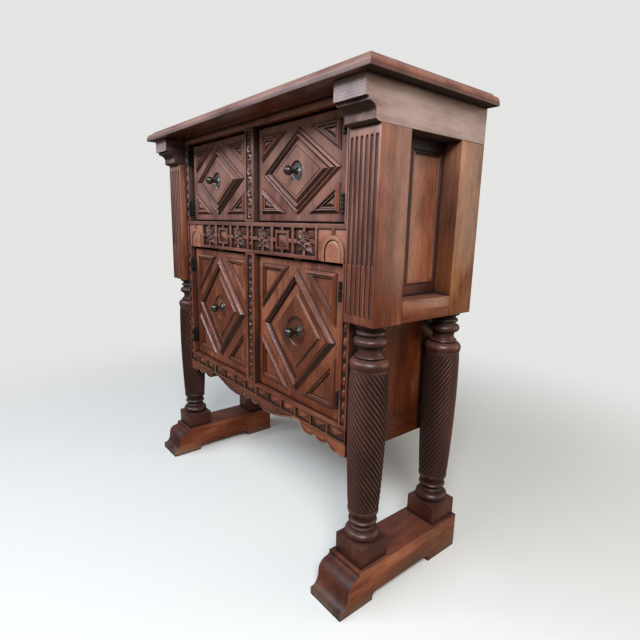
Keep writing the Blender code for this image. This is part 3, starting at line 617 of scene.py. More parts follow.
PANEL_RAIL, PANEL_STILE, PANEL_REAR_STILE = 0.030, 0.072, 0.008
PANEL_MOULDING, PANEL_REAR_MOULDING = 0.006, 0.004  # widths of what is worked on the frame
PANEL_STEPS = ((0.0008, -0.0026), (0.0022, 0.0), (0.0010, 0.0018), (0.0030, 0.0006), (0.0012, -0.0034),
               (0.0026, -0.0004), (0.0010, -0.0008))
PANEL_HEAD = 0.04  # height of its top, darkened as painted shade under the capital


def make_side_panel(side, sign):
    node = f"side_panel_{side}"
    low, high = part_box(node)
    field = rectangle(sign * (low.y + PANEL_STILE - PANEL_MOULDING), low.z + PANEL_RAIL - PANEL_MOULDING,
                      sign * (high.y - PANEL_REAR_STILE + PANEL_REAR_MOULDING),
                      high.z - PANEL_RAIL + PANEL_MOULDING)
    outline = rectangle(sign * low.y, low.z, sign * high.y, high.z)
    bm = plate(outline, high.x - low.x, 0.0008, forms=[(field, PANEL_STEPS)])
    lay(bm, DEEP, 0.04)
    tint(bm, 0.18, lambda way, mid: way.z > 0.9 and mid.z < -0.003)
    # Painted shade: the head under the capital and the stile behind the front post are darkened; the bottom
    # rail is darker too.
    tint(bm, -0.46, lambda way, mid: mid.y > high.z - PANEL_HEAD)
    tint(bm, -0.40, lambda way, mid: sign * mid.x < low.y + PANEL_STILE * 0.8)
    tint(bm, -0.26, lambda way, mid: mid.y < low.z + PANEL_RAIL)
    piece(f"niche_panel_{side}", placed(bm, outward(sign, low, high)), WALNUT, [node])


FOOT_TOP_SETBACK, FOOT_FILLET = 0.0580, 0.0090
SWELLING_SETBACK, SWELLING_DEPTH, SWELLING_TOP, SWELLING_FOOT = 0.0235, 0.0276, 0.0830, 0.0550
TOE_HOLLOW_TOP, TOE_LIP_HEIGHT, TOE_LIP_LENGTH = 0.0510, 0.0185, 0.0040
ARCH_HEIGHT, ARCH_FRONT, ARCH_BACK, ARCH_ROUND = 0.0190, 0.1060, 0.1140, 0.0120


def make_foot(side, sign):
    low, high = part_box(f"foot_{side}")
    toe, heel, top = low.y, high.y, high.z
    swelling = toe + SWELLING_SETBACK
    instep = toe + FOOT_TOP_SETBACK
    outline = [(heel, 0), (heel, top), (instep, top), (instep, top - FOOT_FILLET)]
    outline += arc((swelling + SWELLING_DEPTH, SWELLING_FOOT), (SWELLING_DEPTH, SWELLING_TOP - SWELLING_FOOT),
                   90, 180, 12)
    lip = toe + TOE_LIP_LENGTH
    outline += arc((lip, TOE_HOLLOW_TOP), (swelling - lip, TOE_HOLLOW_TOP - TOE_LIP_HEIGHT), 0, -90, 12)
    outline += [(toe, TOE_LIP_HEIGHT), (toe, 0), (toe + ARCH_FRONT, 0)]
    ends = (toe + ARCH_FRONT + ARCH_ROUND, heel - ARCH_BACK - ARCH_ROUND)
    centre = ARCH_HEIGHT - ARCH_ROUND
    outline += arc((ends[0], centre), (ARCH_ROUND, ARCH_ROUND), 180, 90, 6)
    outline += arc((ends[1], centre), (ARCH_ROUND, ARCH_ROUND), 90, 0, 6)
    outline.append((heel - ARCH_BACK, 0))
    bm = plate([(sign * y, z) for y, z in outline], high.x - low.x, 0.0016)
    lay(bm, ACROSS, -0.10)
    tint(bm, 0.22, lambda way, mid: abs(way.z) > 0.9)
    front_end = instep + 0.004
    tint(bm, -0.14, lambda way, mid: abs(way.z) < 0.9 and sign * mid.x < front_end)
    piece(f"sled_foot_{side}", placed(bm, outward(sign, low, high)), WALNUT, [f"foot_{side}"])


PLINTH_FOOT, PLINTH_HEIGHT = 0.0961, 0.0516
CORE = 0.0275
REEDS, REED_CORNERS, REED_STEPS, REED_DEPTH = 24, 8, 56, 0.0040
REED_TURNS = 0.94
REED_FOOT, REED_HEAD = 0.2227, 0.578
RUN_OUT_FOOT, RUN_OUT_HEAD, RUN_OUT_DEPTH = 22, 16, 0.0016  # how fast the reeds run out, and how deep
BODY_RADIUS, BODY_SWELL, BODY_BEND = 0.0378, 0.0086, 2.2
SHOULDER = (0.587, 0.601)  # heights of the paler turning over the body


def bead(low, high, radius, core=CORE, steps=8):
    middle, half = (low + high) / 2, (high - low) / 2
    return arc((core, middle), (radius - core, half), -90, 90, steps)


def leg_ends():
    """The plain turnings under and over the reeded body, as (radius, height above the floor)."""
    plinth = PLINTH_FOOT + PLINTH_HEIGHT
    foot = [(0, plinth - 0.004), (CORE, plinth - 0.004)]
    foot += bead(plinth, plinth + 0.0250, 0.0428, steps=10)
    foot += [(0.0320, plinth + 0.0262), (0.0320, plinth + 0.0290)]
    foot += arc((0.0320, plinth + 0.0345), (0.0055, 0.0055), -90, -250, 6)
    foot += bead(plinth + 0.0400, plinth + 0.0510, 0.0354, 0.0285, 6)
    foot += [(0.0284, plinth + 0.0530), (0.0288, plinth + 0.0560)]
    foot += arc((0.0258, plinth + 0.0750), (0.0124, 0.0175), -75, 0, 8)
    foot += [(0.0372, plinth + 0.0768), (0, plinth + 0.0768)]
    head = [(0, REED_HEAD - 0.006), (0.0436, REED_HEAD - 0.006), (0.0460, REED_HEAD + 0.002)]
    head += arc((0.0336, 0.5860), (0.0134, 0.0145), 0, 88, 10)
    head += bead(0.6010, 0.6090, 0.0350, 0.0290, 6)
    head += [(0.0285, 0.6110), (0.0270, 0.6170), (0.0278, 0.6240), (0.0310, 0.6280)]
    head += bead(0.6285, 0.6475, 0.0395, 0.0310, 10)
    head += [(0.0290, 0.6490), (0.0285, 0.6530)]
    head += bead(0.6535, 0.6635, 0.0345, 0.0290, 8)
    head += arc((0.0365, 0.6640), (0.0085, 0.0090), 180, 95, 6)
    head += [(0.0372, 0.6735), (0.0372, 0.6808), (0, 0.6808)]
    return foot, head


def body_radius(share):
    """The body swells from its foot and draws in a little under its shoulder."""
    return BODY_RADIUS + BODY_SWELL * math.sin(BODY_BEND * share)


def reeded_body(sense):
    """The leg's body: round reeds that wind about it and run out at both ends."""
    bm = fresh()
    bmesh.ops.create_circle(bm, segments=REEDS * REED_CORNERS, radius=0.03, cap_ends=False)
    ring = bm.edges[:]
    before = 0.0
    for i in range(REED_STEPS + 1):
        share = i / REED_STEPS
        turn = sense * math.tau * REED_TURNS * share
        run_out = min(1.0, share * RUN_OUT_FOOT, (1 - share) * RUN_OUT_HEAD)
        radius = body_radius(share) - RUN_OUT_DEPTH * (1 - run_out)
        corners = {corner for edge in ring for corner in edge.verts}
        for corner in corners:
            angle = math.atan2(corner.co.y, corner.co.x) - before
            across = (angle * REEDS / math.tau) % 1.0 * 2 - 1
            reach = radius - REED_DEPTH * run_out * across * across
            angle += turn
            corner.co = (reach * math.cos(angle), reach * math.sin(angle),
                         REED_FOOT + (REED_HEAD - REED_FOOT) * share)
        before = turn
        if i < REED_STEPS:
            drawn = bmesh.ops.extrude_edge_only(bm, edges=ring)["geom"]
            ring = [part for part in drawn if isinstance(part, bmesh.types.BMEdge)]
    close(bm)
    lay(bm, UP, 0.02)
    # Painted shade in the grooves between the reeds.
    tint(bm, -0.30, lambda way, mid: in_groove(mid))
    return bm


def in_groove(place):
    share = (place.z - REED_FOOT) / (REED_HEAD - REED_FOOT)
    return body_radius(share) - place.xy.length > REED_DEPTH * 0.34


def make_leg(place, side, sign):
    node = f"leg_{place}_{side}"
    low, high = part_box(node)
    centre = (low + high) / 2
    twist = -sign if place == "front" else sign
    whole = fresh()
    middle = Matrix.Translation((centre.x, centre.y, 0))
    for profile in leg_ends():
        turning = lay(turned(profile, 48), UP)
        tint(turning, 0.12, lambda way, mid: SHOULDER[0] < mid.z < SHOULDER[1])
        into(whole, turning, middle)
    into(whole, reeded_body(twist), middle)
    half = (high.x - low.x) / 2
    corner = Vector((half, half, 0))
    foot, head = Vector((*centre.xy, low.z)), Vector((*centre.xy, low.z + PLINTH_HEIGHT))
    into(whole, board(foot - corner, head + corner, UP, 0.10))
    piece(f"reeded_leg_{place}_{side}", whole, DARK_WALNUT, [node])


# Case

CASE_RAIL_TOP, CASE_JOINT = 0.405, 0.0004


def make_case():
    for side, sign in SIDES:
        node = f"case_side_{side}"
        low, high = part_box(node)
        whole = fresh()
        into(whole, board((low.x, low.y, CASE_RAIL_TOP + CASE_JOINT), high, UP, -0.03))
        into(whole, board(low, (high.x, high.y, CASE_RAIL_TOP), DEEP, -0.08))
        piece(f"case_end_{side}", whole, WALNUT, [node])
    # The cornice rail is paler as painted light that lifts the shadow of the overhanging top.
    plain_board("top_rail", "cornice_rail", ACROSS, 0.24)
    plain_board("back_panel", "back_boards", UP, 0.0, BARE_WOOD)
    for node in ("case_bottom", "middle_floor", "lower_shelf"):
        plain_board(node, f"{node}_board", ACROSS, 0.0, BARE_WOOD)


# Frieze

GROUND = 0.007  # depth of the sunk ground
GROUND_WAX_AND_SHADE = -0.32  # dark wax and painted shade lie in it
BORDER_LOW, BORDER_HIGH = 0.8165, 0.8835
ROSETTES, PYRAMID, CELL_BARS = (0.0700, 0.2600), 0.1645, (0.1165, 0.2130)
CENTRE_BAR = (0.0075, 0.0165)
END_BORDER = 0.3055
BAR, STUB = 0.0110, 0.0100  # widths
ARCH_MIDDLE, ARCH_SPRING = 0.3700, 0.8290
ARCH_BAND, ARCH_RADII = 0.0085, (0.0395, 0.0400)
ARCH_PANEL = (0.3120, 0.4250)
ARCH_STEPS = ((ARCH_BAND, 0.0), (0.0005, -0.0040), (0.0014, -0.0004), (0.0018, 0.0030), (0.0034, 0.0014),
              (0.0040, 0.0006))
ROSETTE_CELL, ROSETTE_REACH, ROSETTE_TONE = (0.0300, 0.0365), 0.0405, -0.12
CATCH = Vector((0.0140, 0.0070, 0.0036))  # half size of the block that a lower door shuts under


def strip(whole, x0, z0, x1, z1, level=0.0, along=ACROSS, tone=0.02, steps=()):
    """A raised strip of the frieze, from the ground up to its level."""
    part = plate(rectangle(x0, z0, x1, z1), GROUND + level + SUNK, 0.0009, steps)
    into(whole, lay(part, along, tone), front(FACE - level))


def rosette(whole, x, z):
    """A full flower that fills its cell: hollow leaves, slim ones between them, petals and a button."""
    ground = front(FACE + GROUND)
    for i in range(16):
        angle = math.radians(22.5 * i)
        edge = max(abs(math.sin(angle)) / ROSETTE_CELL[1], abs(math.cos(angle)) / ROSETTE_CELL[0])
        reach = min(ROSETTE_REACH, 1 / edge)
        leaf = petal(reach * 0.94, 0.0084, 0.0058) if i % 2 else petal(reach, 0.0225, 0.0046, True)
        into(whole, lay(leaf, ACROSS, ROSETTE_TONE), ground @ at(x, z, 0.0, 22.5 * i))
    for i in range(8):
        inner = petal(0.0200, 0.0128, 0.0032, True)
        into(whole, lay(inner, ACROSS, ROSETTE_TONE), ground @ at(x, z, 0.0040, 45 * i + 22.5))
    button = dome((0.0056, 0.0056), 0.0056, 12)
    into(whole, lay(button, ACROSS, ROSETTE_TONE), ground @ at(x, z, 0.0044))


def framed_pyramid(whole, x, z):
    section = ((0, -SUNK), (0, 0.0054), (0.0012, 0.0066), (0.0068, 0.0066), (0.0080, 0.0054), (0.0080, -SUNK))
    ground = front(FACE + GROUND)
    into(whole, mitred(rectangle(x - 0.0310, z - 0.0250, x + 0.0310, z + 0.0250), section, 0.03), ground)
    cushion = plate(rectangle(x - 0.0205, z - 0.0150, x + 0.0205, z + 0.0150), 0.004, 0.0008,
                    ((0.0020, 0.0008), (0.0006, -0.0008), (0.0100, 0.0050)))
    into(whole, lay(cushion, ACROSS, 0.05), ground @ at(0, 0, 0.0022))


def make_frieze():
    low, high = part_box("frieze_rail")
    middle = (BORDER_LOW + BORDER_HIGH) / 2
    half, reach, rise = STUB / 2, 0.0295, 0.0235
    whole = fresh()
    into(whole, board((low.x, FACE + GROUND, low.z), high, ACROSS, GROUND_WAX_AND_SHADE))
    strip(whole, -END_BORDER, BORDER_HIGH, END_BORDER, high.z)
    strip(whole, -END_BORDER, low.z, END_BORDER, BORDER_LOW)
    stops = [CENTRE_BAR[1], *[x + way * BAR / 2 for x in CELL_BARS for way in (-1, 1)], END_BORDER + SUNK]
    for _, sign in SIDES:
        for x0, x1 in (CENTRE_BAR, *zip(stops[1::2], stops[2::2])):
            strip(whole, sign * x0, BORDER_LOW - SUNK, sign * x1, BORDER_HIGH + SUNK, -0.0004, UP)
        for x, start, end in zip((ROSETTES[0], PYRAMID, ROSETTES[1]), stops[::2], stops[1::2]):
            strip(whole, sign * (start - SUNK), middle - half, sign * (x - reach), middle + half, -0.0008)
            strip(whole, sign * (x + reach), middle - half, sign * (end + SUNK), middle + half, -0.0008)
            for z, edge in ((middle - rise, BORDER_LOW - SUNK), (middle + rise, BORDER_HIGH + SUNK)):
                strip(whole, sign * x - half, z, sign * x + half, edge, -0.0008, UP)
        for x in ROSETTES:
            rosette(whole, sign * x, middle)
        framed_pyramid(whole, sign * PYRAMID, middle)
        make_arch(whole, sign, low.z, high.z)
        catch = Vector((sign * DOOR_MIDDLE, DOOR_FACE + 0.006, low.z - 0.0030))
        into(whole, board(catch - CATCH, catch + CATCH, ACROSS, 0.06))
    for z in (middle - 0.017, middle, middle + 0.017):
        into(whole, lay(dome((0.0046, 0.0076), 0.0056, 12), UP, 0.08), front(FACE + GROUND) @ at(0, z))
    piece("carved_frieze", whole, WALNUT, ["frieze_rail"])


def make_arch(whole, sign, low, high):
    """The end of the frieze: a swelling field under a round-headed band, with a short bar at its crown."""
    inner, outer = ARCH_PANEL
    x = sign * ARCH_MIDDLE
    crown = ARCH_SPRING + ARCH_RADII[1]
    strip(whole, sign * END_BORDER, low, sign * (inner + 0.0010), high, 0.0, UP)
    strip(whole, sign * (outer - 0.0035), low, sign * CASE_HALF, high, 0.0, UP)
    strip(whole, sign * inner, BORDER_HIGH, sign * outer, high)
    strip(whole, sign * inner, low, sign * outer, BORDER_HIGH + SUNK, -0.0036, ACROSS, 0.26)
    strip(whole, x - STUB / 2, crown - 0.002, x + STUB / 2, BORDER_HIGH + SUNK, -0.0006, UP, 0.06)
    outline = [(x + ARCH_RADII[0], low - 0.03)] + arc((x, ARCH_SPRING), ARCH_RADII, 0, 180, 24)
    outline.append((x - ARCH_RADII[0], low - 0.03))
    field = lay(plate(outline, 0.0060, 0.0008, ARCH_STEPS), UP, 0.28)
    split(field, (0, low, 0), DEEP, inner=True)
    into(whole, field, front(FACE + 0.0006))


# Stiles and muntins

STILE_CHANNEL, MUNTIN_CHANNEL = 0.0080, 0.0155
CHANNEL_MARGIN = 0.007
CHANNEL_STEPS = ((0.0006, -0.0042), (0.0016, -0.0010))
CHANNEL_DEPTH = 0.0052
LEDGE_DROP = 0.0050  # how much lower than the solid's the apron's ledge is drawn
BEAD_PITCH, SCROLL_PITCH, BOSS_PITCH = 0.031, 0.0590, 0.0440
SCROLL_RADII = (0.0020, 0.0030, 0.0039, 0.0045, 0.0048, 0.0048, 0.0045, 0.0039, 0.0030, 0.0020)


def channelled(node, half, margin):
    """A member of the front frame with a sunk channel down its face; a lower one stands on the ledge."""
    low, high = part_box(node)
    if node.startswith("lower"):
        low.z -= LEDGE_DROP
    x = (low.x + high.x) / 2
    channel = rectangle(x - half, low.z + margin, x + half, high.z - margin)
    outline = rectangle(low.x, low.z, high.x, high.z)
    bm = plate(outline, high.y - low.y, 0.0010, forms=[(channel, CHANNEL_STEPS)])
    lay(bm, DEEP, 0.02)
    # The sunk channel is darkened with wax and as painted shade.
    tint(bm, GROUND_WAX_AND_SHADE * 0.8, lambda way, mid: mid.z < -0.0004)
    return placed(bm, front(low.y)), x, low.z + margin, high.z - margin


def spaced(low, high, pitch):
    """Places at about a pitch, evenly between two ends."""
    count = max(1, round((high - low) / pitch))
    return [low + (high - low) * (i + 0.5) / count for i in range(count)]


def make_stiles():
    ground = front(FACE + CHANNEL_DEPTH)
    for level in ("upper", "lower"):
        for side, _ in SIDES:
            node = f"{level}_stile_{side}"
            whole, x, low, high = channelled(node, STILE_CHANNEL, CHANNEL_MARGIN)
            for z in spaced(low, high, BEAD_PITCH):
                into(whole, lay(dome((0.0070, 0.0132), 0.0064), DEEP, -0.10), ground @ at(x, z))
            piece(f"beaded_{node}", whole, WALNUT, [node])


def leaf_scroll(whole, ground, x, z):
    """An S-scroll of leaves with a bud in each bend."""
    for turn in (1, -1):
        hook = arc((0, 0), (0.0092, 0.0122), 200, -40, 9)
        stem = limb([(turn * px, turn * (py + 0.0136)) for px, py in hook], SCROLL_RADII)
        into(whole, lay(stem, DEEP, 0.06), ground @ at(x, z))
        bud = dome((0.0048, 0.0054), 0.0062, 12)
        into(whole, lay(bud, DEEP, 0.10), ground @ at(x + turn * 0.0010, z + turn * 0.0132))
        tip = petal(0.0190, 0.0105, 0.0052)
        place = at(x - turn * 0.0062, z + turn * 0.0020, 0, 90 - turn * 118)
        into(whole, lay(tip, DEEP, 0.05), ground @ place)


def limb(path, radii, sides=8):
    """A round stem that follows a path on the face, with its own thickness at each point."""
    bm = fresh()
    points = [Vector((x, y, 0.0006)) for x, y in path]
    runs = [(b - a).normalized() for a, b in zip(points, points[1:])]
    runs.append(runs[-1])
    place = Matrix.Translation(points[0]) @ UP.rotation_difference(runs[0]).to_matrix().to_4x4()
    made = bmesh.ops.create_circle(bm, segments=sides, radius=radii[0], cap_ends=True, matrix=place)["verts"]
    end = made[0].link_faces[0]
    for i in range(1, len(points)):
        drawn = bmesh.ops.extrude_face_region(bm, geom=[end])["geom"]
        end = [part for part in drawn if isinstance(part, bmesh.types.BMFace)][0]
        turn = runs[i - 1].rotation_difference(runs[i]).to_matrix().to_4x4()
        scale = Matrix.Scale(radii[i] / radii[i - 1], 4)
        move = Matrix.Translation(points[i]) @ turn @ scale @ Matrix.Translation(-points[i - 1])
        bmesh.ops.transform(bm, matrix=move, verts=end.verts)
    return bm


def make_muntins():
    ground = front(FACE + CHANNEL_DEPTH)
    whole, x, low, high = channelled("upper_muntin", MUNTIN_CHANNEL, CHANNEL_MARGIN)
    for z in spaced(low, high, SCROLL_PITCH):
        leaf_scroll(whole, ground, x, z)
    piece("carved_upper_muntin", whole, WALNUT, ["upper_muntin"])
    whole, x, low, high = channelled("lower_muntin", MUNTIN_CHANNEL * 0.85, CHANNEL_MARGIN)
    for z in spaced(low, high, BOSS_PITCH):
        into(whole, lay(dome((0.0094, 0.0104), 0.0046), DEEP, -0.13), ground @ at(x, z))
        for way in (-1, 1):
            for turn in (-1, 1):
                leaf = petal(0.0140, 0.0078, 0.0044)
                into(whole, lay(leaf, DEEP, -0.08), ground @ at(x, z + turn * 0.0205, 0.0, way * -58))
    piece("carved_lower_muntin", whole, WALNUT, ["lower_muntin"])


# Apron

PYRAMID_COUNT, DIVIDER, FILLET, CELL_DEPTH = 13, 0.0054, 0.0052, 0.0034
PYRAMID_RISE, PYRAMID_FALL = 0.0078, 0.0030
# Inset, radius and tone of the bead along the rim, and of the dark line beside it, which is a painted shadow
# of a groove
RIM = ((0.0036, 0.0019, 0.08), (0.0064, 0.0010, -0.60))
BAND_BOTTOM = 0.3730
END_LOBE_WIDTH, END_ROUND = 0.0670, 0.0300
SMALL_LOBES, SMALL_LOBE_WIDTH, LOBE_BOTTOM, CUSP = 2, 0.0540, 0.0040, 0.0195
ARCH_RISE, ARCH_SHOULDER = 0.0285, 0.0270
CENTRE_LOBE_WIDTH, CENTRE_ROUND, CENTRE_CUSP = 0.0480, 0.0340, 0.0220
LOBE_OPENING = 20  # degrees of a lobe's arc left open at each side
ARCH_POINTS, ARCH_LEAN = 20, 0.7
CELL_SIDE_SHADE, CELL_LIP = -0.8, 0.0012  # painted shade on the sides of cells and dividers; the lip of a cell stays pale


def lobe(left, width, bottom, cusp):
    open_part = math.radians(LOBE_OPENING)
    depth = (cusp - bottom) / (1 - math.sin(open_part))
    reach = width / 2 / math.cos(open_part)
    return arc((left + width / 2, bottom + depth), (reach, depth), -LOBE_OPENING, LOBE_OPENING - 180, 14)


def scalloped_edge(edge):
    """The runs of half the apron's lower edge, from the right end to the middle."""
    x = CASE_HALF - END_LOBE_WIDTH
    runs = [[(CASE_HALF, edge)] + arc((x + END_ROUND, edge + CUSP), (END_ROUND, CUSP), -90, -180, 10)]
    for _ in range(SMALL_LOBES):
        x -= SMALL_LOBE_WIDTH
        runs.append(lobe(x, SMALL_LOBE_WIDTH, edge + LOBE_BOTTOM, edge + CUSP))
    shoulder = arc((x - ARCH_SHOULDER, edge + CUSP), (ARCH_SHOULDER, ARCH_RISE - CUSP), 0, 90, 8)[1:]
    start, end = x - ARCH_SHOULDER, CENTRE_LOBE_WIDTH + CENTRE_ROUND
    for i in range(1, ARCH_POINTS):
        share = i / ARCH_POINTS
        fall = (1 + math.cos(math.pi * share ** ARCH_LEAN)) / 2
        shoulder.append((start + (end - start) * share, edge + ARCH_RISE * fall))
    shoulder += arc((end, edge + CENTRE_CUSP), (CENTRE_ROUND, CENTRE_CUSP), -90, -180, 10)[:-1]
    return runs + [shoulder, lobe(0, CENTRE_LOBE_WIDTH, edge + LOBE_BOTTOM, edge + CENTRE_CUSP)]


def beside(run, inset):
    """A line inside the edge, with its ends left off."""
    path = []
    for before, (x, z), after in zip(run, run[1:], run[2:]):
        along = (Vector(after) - Vector(before)).normalized()
        path.append((x + along.y * inset, z - along.x * inset))
    return path


def pyramid(x, low, reach, height):
    """A faceted block, level with what is above and below it, and sunk at both ends."""
    xs = [x + share * reach for share in (-1, -0.2, 0.2, 1)]
    outline = [(end, low) for end in xs] + [(end, low + height) for end in reversed(xs)]
    bm = plate(outline, CELL_DEPTH + SUNK, 0.0002)
    top = max(bm.faces, key=lambda face: face.calc_center_median().z)
    peak = bmesh.ops.poke(bm, faces=[top])["verts"]
    bmesh.ops.translate(bm, vec=(0, 0, PYRAMID_RISE), verts=peak)
    ends = [corner for corner in bm.verts if corner.co.z > -SUNK and abs(corner.co.x - x) > reach * 0.9]
    bmesh.ops.translate(bm, vec=(0, 0, -PYRAMID_FALL), verts=ends)
    return bm


def make_apron():
    low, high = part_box("apron_rail")
    runs = scalloped_edge(low.z)
    half = [point for run in runs for point in run]
    outline = half + [(-x, z) for x, z in reversed(half[:-1])]
    outline += [(-CASE_HALF, BAND_BOTTOM + SUNK), (CASE_HALF, BAND_BOTTOM + SUNK)]
    pitch = 2 * CASE_HALF / PYRAMID_COUNT
    middles = [(i - (PYRAMID_COUNT - 1) / 2) * pitch for i in range(PYRAMID_COUNT)]
    ledge = high.z - LEDGE_DROP
    z0, z1 = BAND_BOTTOM + FILLET, ledge - FILLET
    reach = (pitch - DIVIDER) / 2
    cells = [(rectangle(x - reach, z0, x + reach, z1), ((0.0002, -CELL_DEPTH),)) for x in middles]
    whole = fresh()
    thick = FRAME_BACK - FACE
    band = plate(rectangle(-CASE_HALF, BAND_BOTTOM, CASE_HALF, ledge), thick, 0.0010, forms=cells)
    lay(band, ACROSS, 0.06)
    # Painted shade on the sides of the cells.
    tint(band, CELL_SIDE_SHADE,
         lambda way, mid: abs(way.z) < 0.4 and -CELL_DEPTH < mid.z < -CELL_LIP)
    shut = FACE - DOOR_FACE
    split(band, (0, 0, shut), UP)
    # Painted shadow on the ledge under where the doors shut.
    tint(band, -0.50, lambda way, mid: way.y > 0.9 and mid.z < shut)
    into(whole, band, front(FACE))
    into(whole, lay(plate(outline, thick, 0.0016), ACROSS, -0.02), front(FACE))
    for run in runs:
        for inset, radius, tone in RIM:
            path = beside(run, inset)
            for way in (-1, 1):
                rim = limb([(way * x, z) for x, z in path], [radius] * len(path), 6)
                into(whole, lay(rim, ACROSS, tone), front(FACE))
    for x in middles:
        block = lay(pyramid(x, z0, reach, z1 - z0), ACROSS, -0.05)
        # Painted light and shade on the facets: the upper one lighter, the lower and end ones darker.
        tint(block, 0.04, lambda way, mid: way.y > 0.3)
        tint(block, -0.24, lambda way, mid: way.y < -0.3)
        tint(block, -0.16, lambda way, mid: abs(way.x) > 0.2)
        into(whole, block, front(FACE + 0.0014))
    for edge in (-CASE_HALF, *[x + pitch / 2 for x in middles]):
        x0, x1 = max(edge - DIVIDER / 2, -CASE_HALF), min(edge + DIVIDER / 2, CASE_HALF)
        bar = plate(rectangle(x0, z0 - SUNK, x1, z1 + SUNK), 0.0050, 0.0007)
        lay(bar, DEEP, -0.06)
        # Painted shade on the sides of a divider.
        tint(bar, CELL_SIDE_SHADE, lambda way, mid: abs(way.x) > 0.8)
        into(whole, bar, front(FACE - 0.0020))
    for z in (BAND_BOTTOM, ledge - FILLET):
        fillet = plate(rectangle(-CASE_HALF, z, CASE_HALF, z + FILLET), 0.0034, 0.0009)
        into(whole, lay(fillet, ACROSS, -0.12), front(FACE - 0.0016))
    piece("scalloped_apron", whole, WALNUT, ["apron_rail"], sharp=CRISP)


# Doors

UPPER_DIAMOND, LOWER_DIAMOND = (0.1612, 0.1055), (0.1590, 0.1680)
UPPER_CORNER, LOWER_CORNER = (0.1140, 0.0680), (0.1300, 0.1320)
CORNER_MARGIN, CORNER_HINGE_MARGIN = 0.0220, 0.0300
# Foot's inset, its height, and the steps up to the raised field
UPPER_FIELD = (0.0232, 0.0016, ((0.0072, 0.0064), (0.0046, 0.0004), (0.0006, -0.0020), (0.0012, 0.0),
                                (0.0006, 0.0020)))
LOWER_FIELD = (0.0430, 0.0004, ((0.0036, 0.0038), (0.0005, -0.0007), (0.0009, 0.0008)))
MOULDING_EDGE = ((-0.0008, -SUNK), (-0.0008, 0.0002), (0, 0.0002))
UPPER_MOULDING = (*MOULDING_EDGE, (0, 0.0008), (0.0006, 0.0016), (0.0044, 0.0058), (0.0053, 0.0063),
                  (0.0062, 0.0058), (0.0092, 0.0028), (0.0098, 0.0016), (0.0108, 0.0016), (0.0114, 0.0028),
                  (0.0154, 0.0076), (0.0164, 0.0082), (0.0176, 0.0078), (0.0212, 0.0036), (0.0220, 0.0020),
                  (0.0232, 0.0016), (0.0250, 0.0016), (0.0250, -SUNK))
LOWER_MOULDING = (*MOULDING_EDGE, (0, 0.0014), (0.0008, 0.0026), (0.0020, 0.0030), (0.0028, 0.0027),
                  (0.0036, 0.0038), (0.0104, 0.0102), (0.0114, 0.0108), (0.0126, 0.0108), (0.0136, 0.0101),
                  (0.0164, 0.0074), (0.0170, 0.0060), (0.0178, 0.0060), (0.0185, 0.0076), (0.0200, 0.0077),
                  (0.0212, 0.0068), (0.0222, 0.0044), (0.0227, 0.0004), (0.0230, -SUNK))
UPPER_CORNER_SECTION = ((0, -SUNK), (0, 0.0010), (0.0008, 0.0022), (0.0062, 0.0076), (0.0076, 0.0082),
                        (0.0088, 0.0076), (0.0096, 0.0042), (0.0106, 0.0036), (0.0113, 0.0048),
                        (0.0134, 0.0050), (0.0146, 0.0042), (0.0152, 0.0010), (0.0152, -SUNK))
LOWER_CORNER_SECTION = ((0, -SUNK), (0, 0.0010), (0.0008, 0.0020), (0.0064, 0.0078), (0.0082, 0.0084),
                        (0.0096, 0.0078), (0.0104, 0.0046), (0.0116, 0.0042), (0.0123, 0.0054),
                        (0.0137, 0.0056), (0.0149, 0.0044), (0.0158, 0.0010), (0.0158, -SUNK))
HEART_INSET, HEART_STEPS = 0.0166, ((0.0006, 0.0012), (0.0050, 0.0040))
UPPER_ARRIS, LOWER_ARRIS = 0.0034, 0.0018
UPPER_DISH = (0.0265, 0.0070, 0.0060)  # radius, width of its round side, depth
LOWER_DISH = (0.0415, 0.0220, 0.0080)
# Tone at a door's foot, and how much paler it is at its head; on the upper doors the paler head is painted
# light against the shadow of the top
DOOR_TONES = {"upper_door_left": (0.01, 0.20), "upper_door_right": (0.00, 0.20),
              "lower_door_left": (-0.05, 0.10), "lower_door_right": (-0.08, 0.10)}
LOWER_DOOR_DROP = 0.0040  # how much lower than the solid's a lower door is drawn
POCKET = 0.0080  # in the leaf, behind the dish


def diamond(middle, half):
    x, z = middle
    return [(x - half[0], z), (x, z - half[1]), (x + half[0], z), (x, z + half[1])]


def corner_outlines(low, high, sign, legs):
    """The four triangles in a door's corners, further in beside the hinges."""
    inner, outer = sorted((low.x, high.x), key=abs)
    found = []
    for x, way_x in ((inner + sign * CORNER_MARGIN, sign), (outer - sign * CORNER_HINGE_MARGIN, -sign)):
        for z, way_z in ((low.z + CORNER_MARGIN, 1), (high.z - CORNER_MARGIN, -1)):
            found.append(anticlockwise([(x, z), (x + way_x * legs[0], z), (x, z + way_z * legs[1])]))
    return found


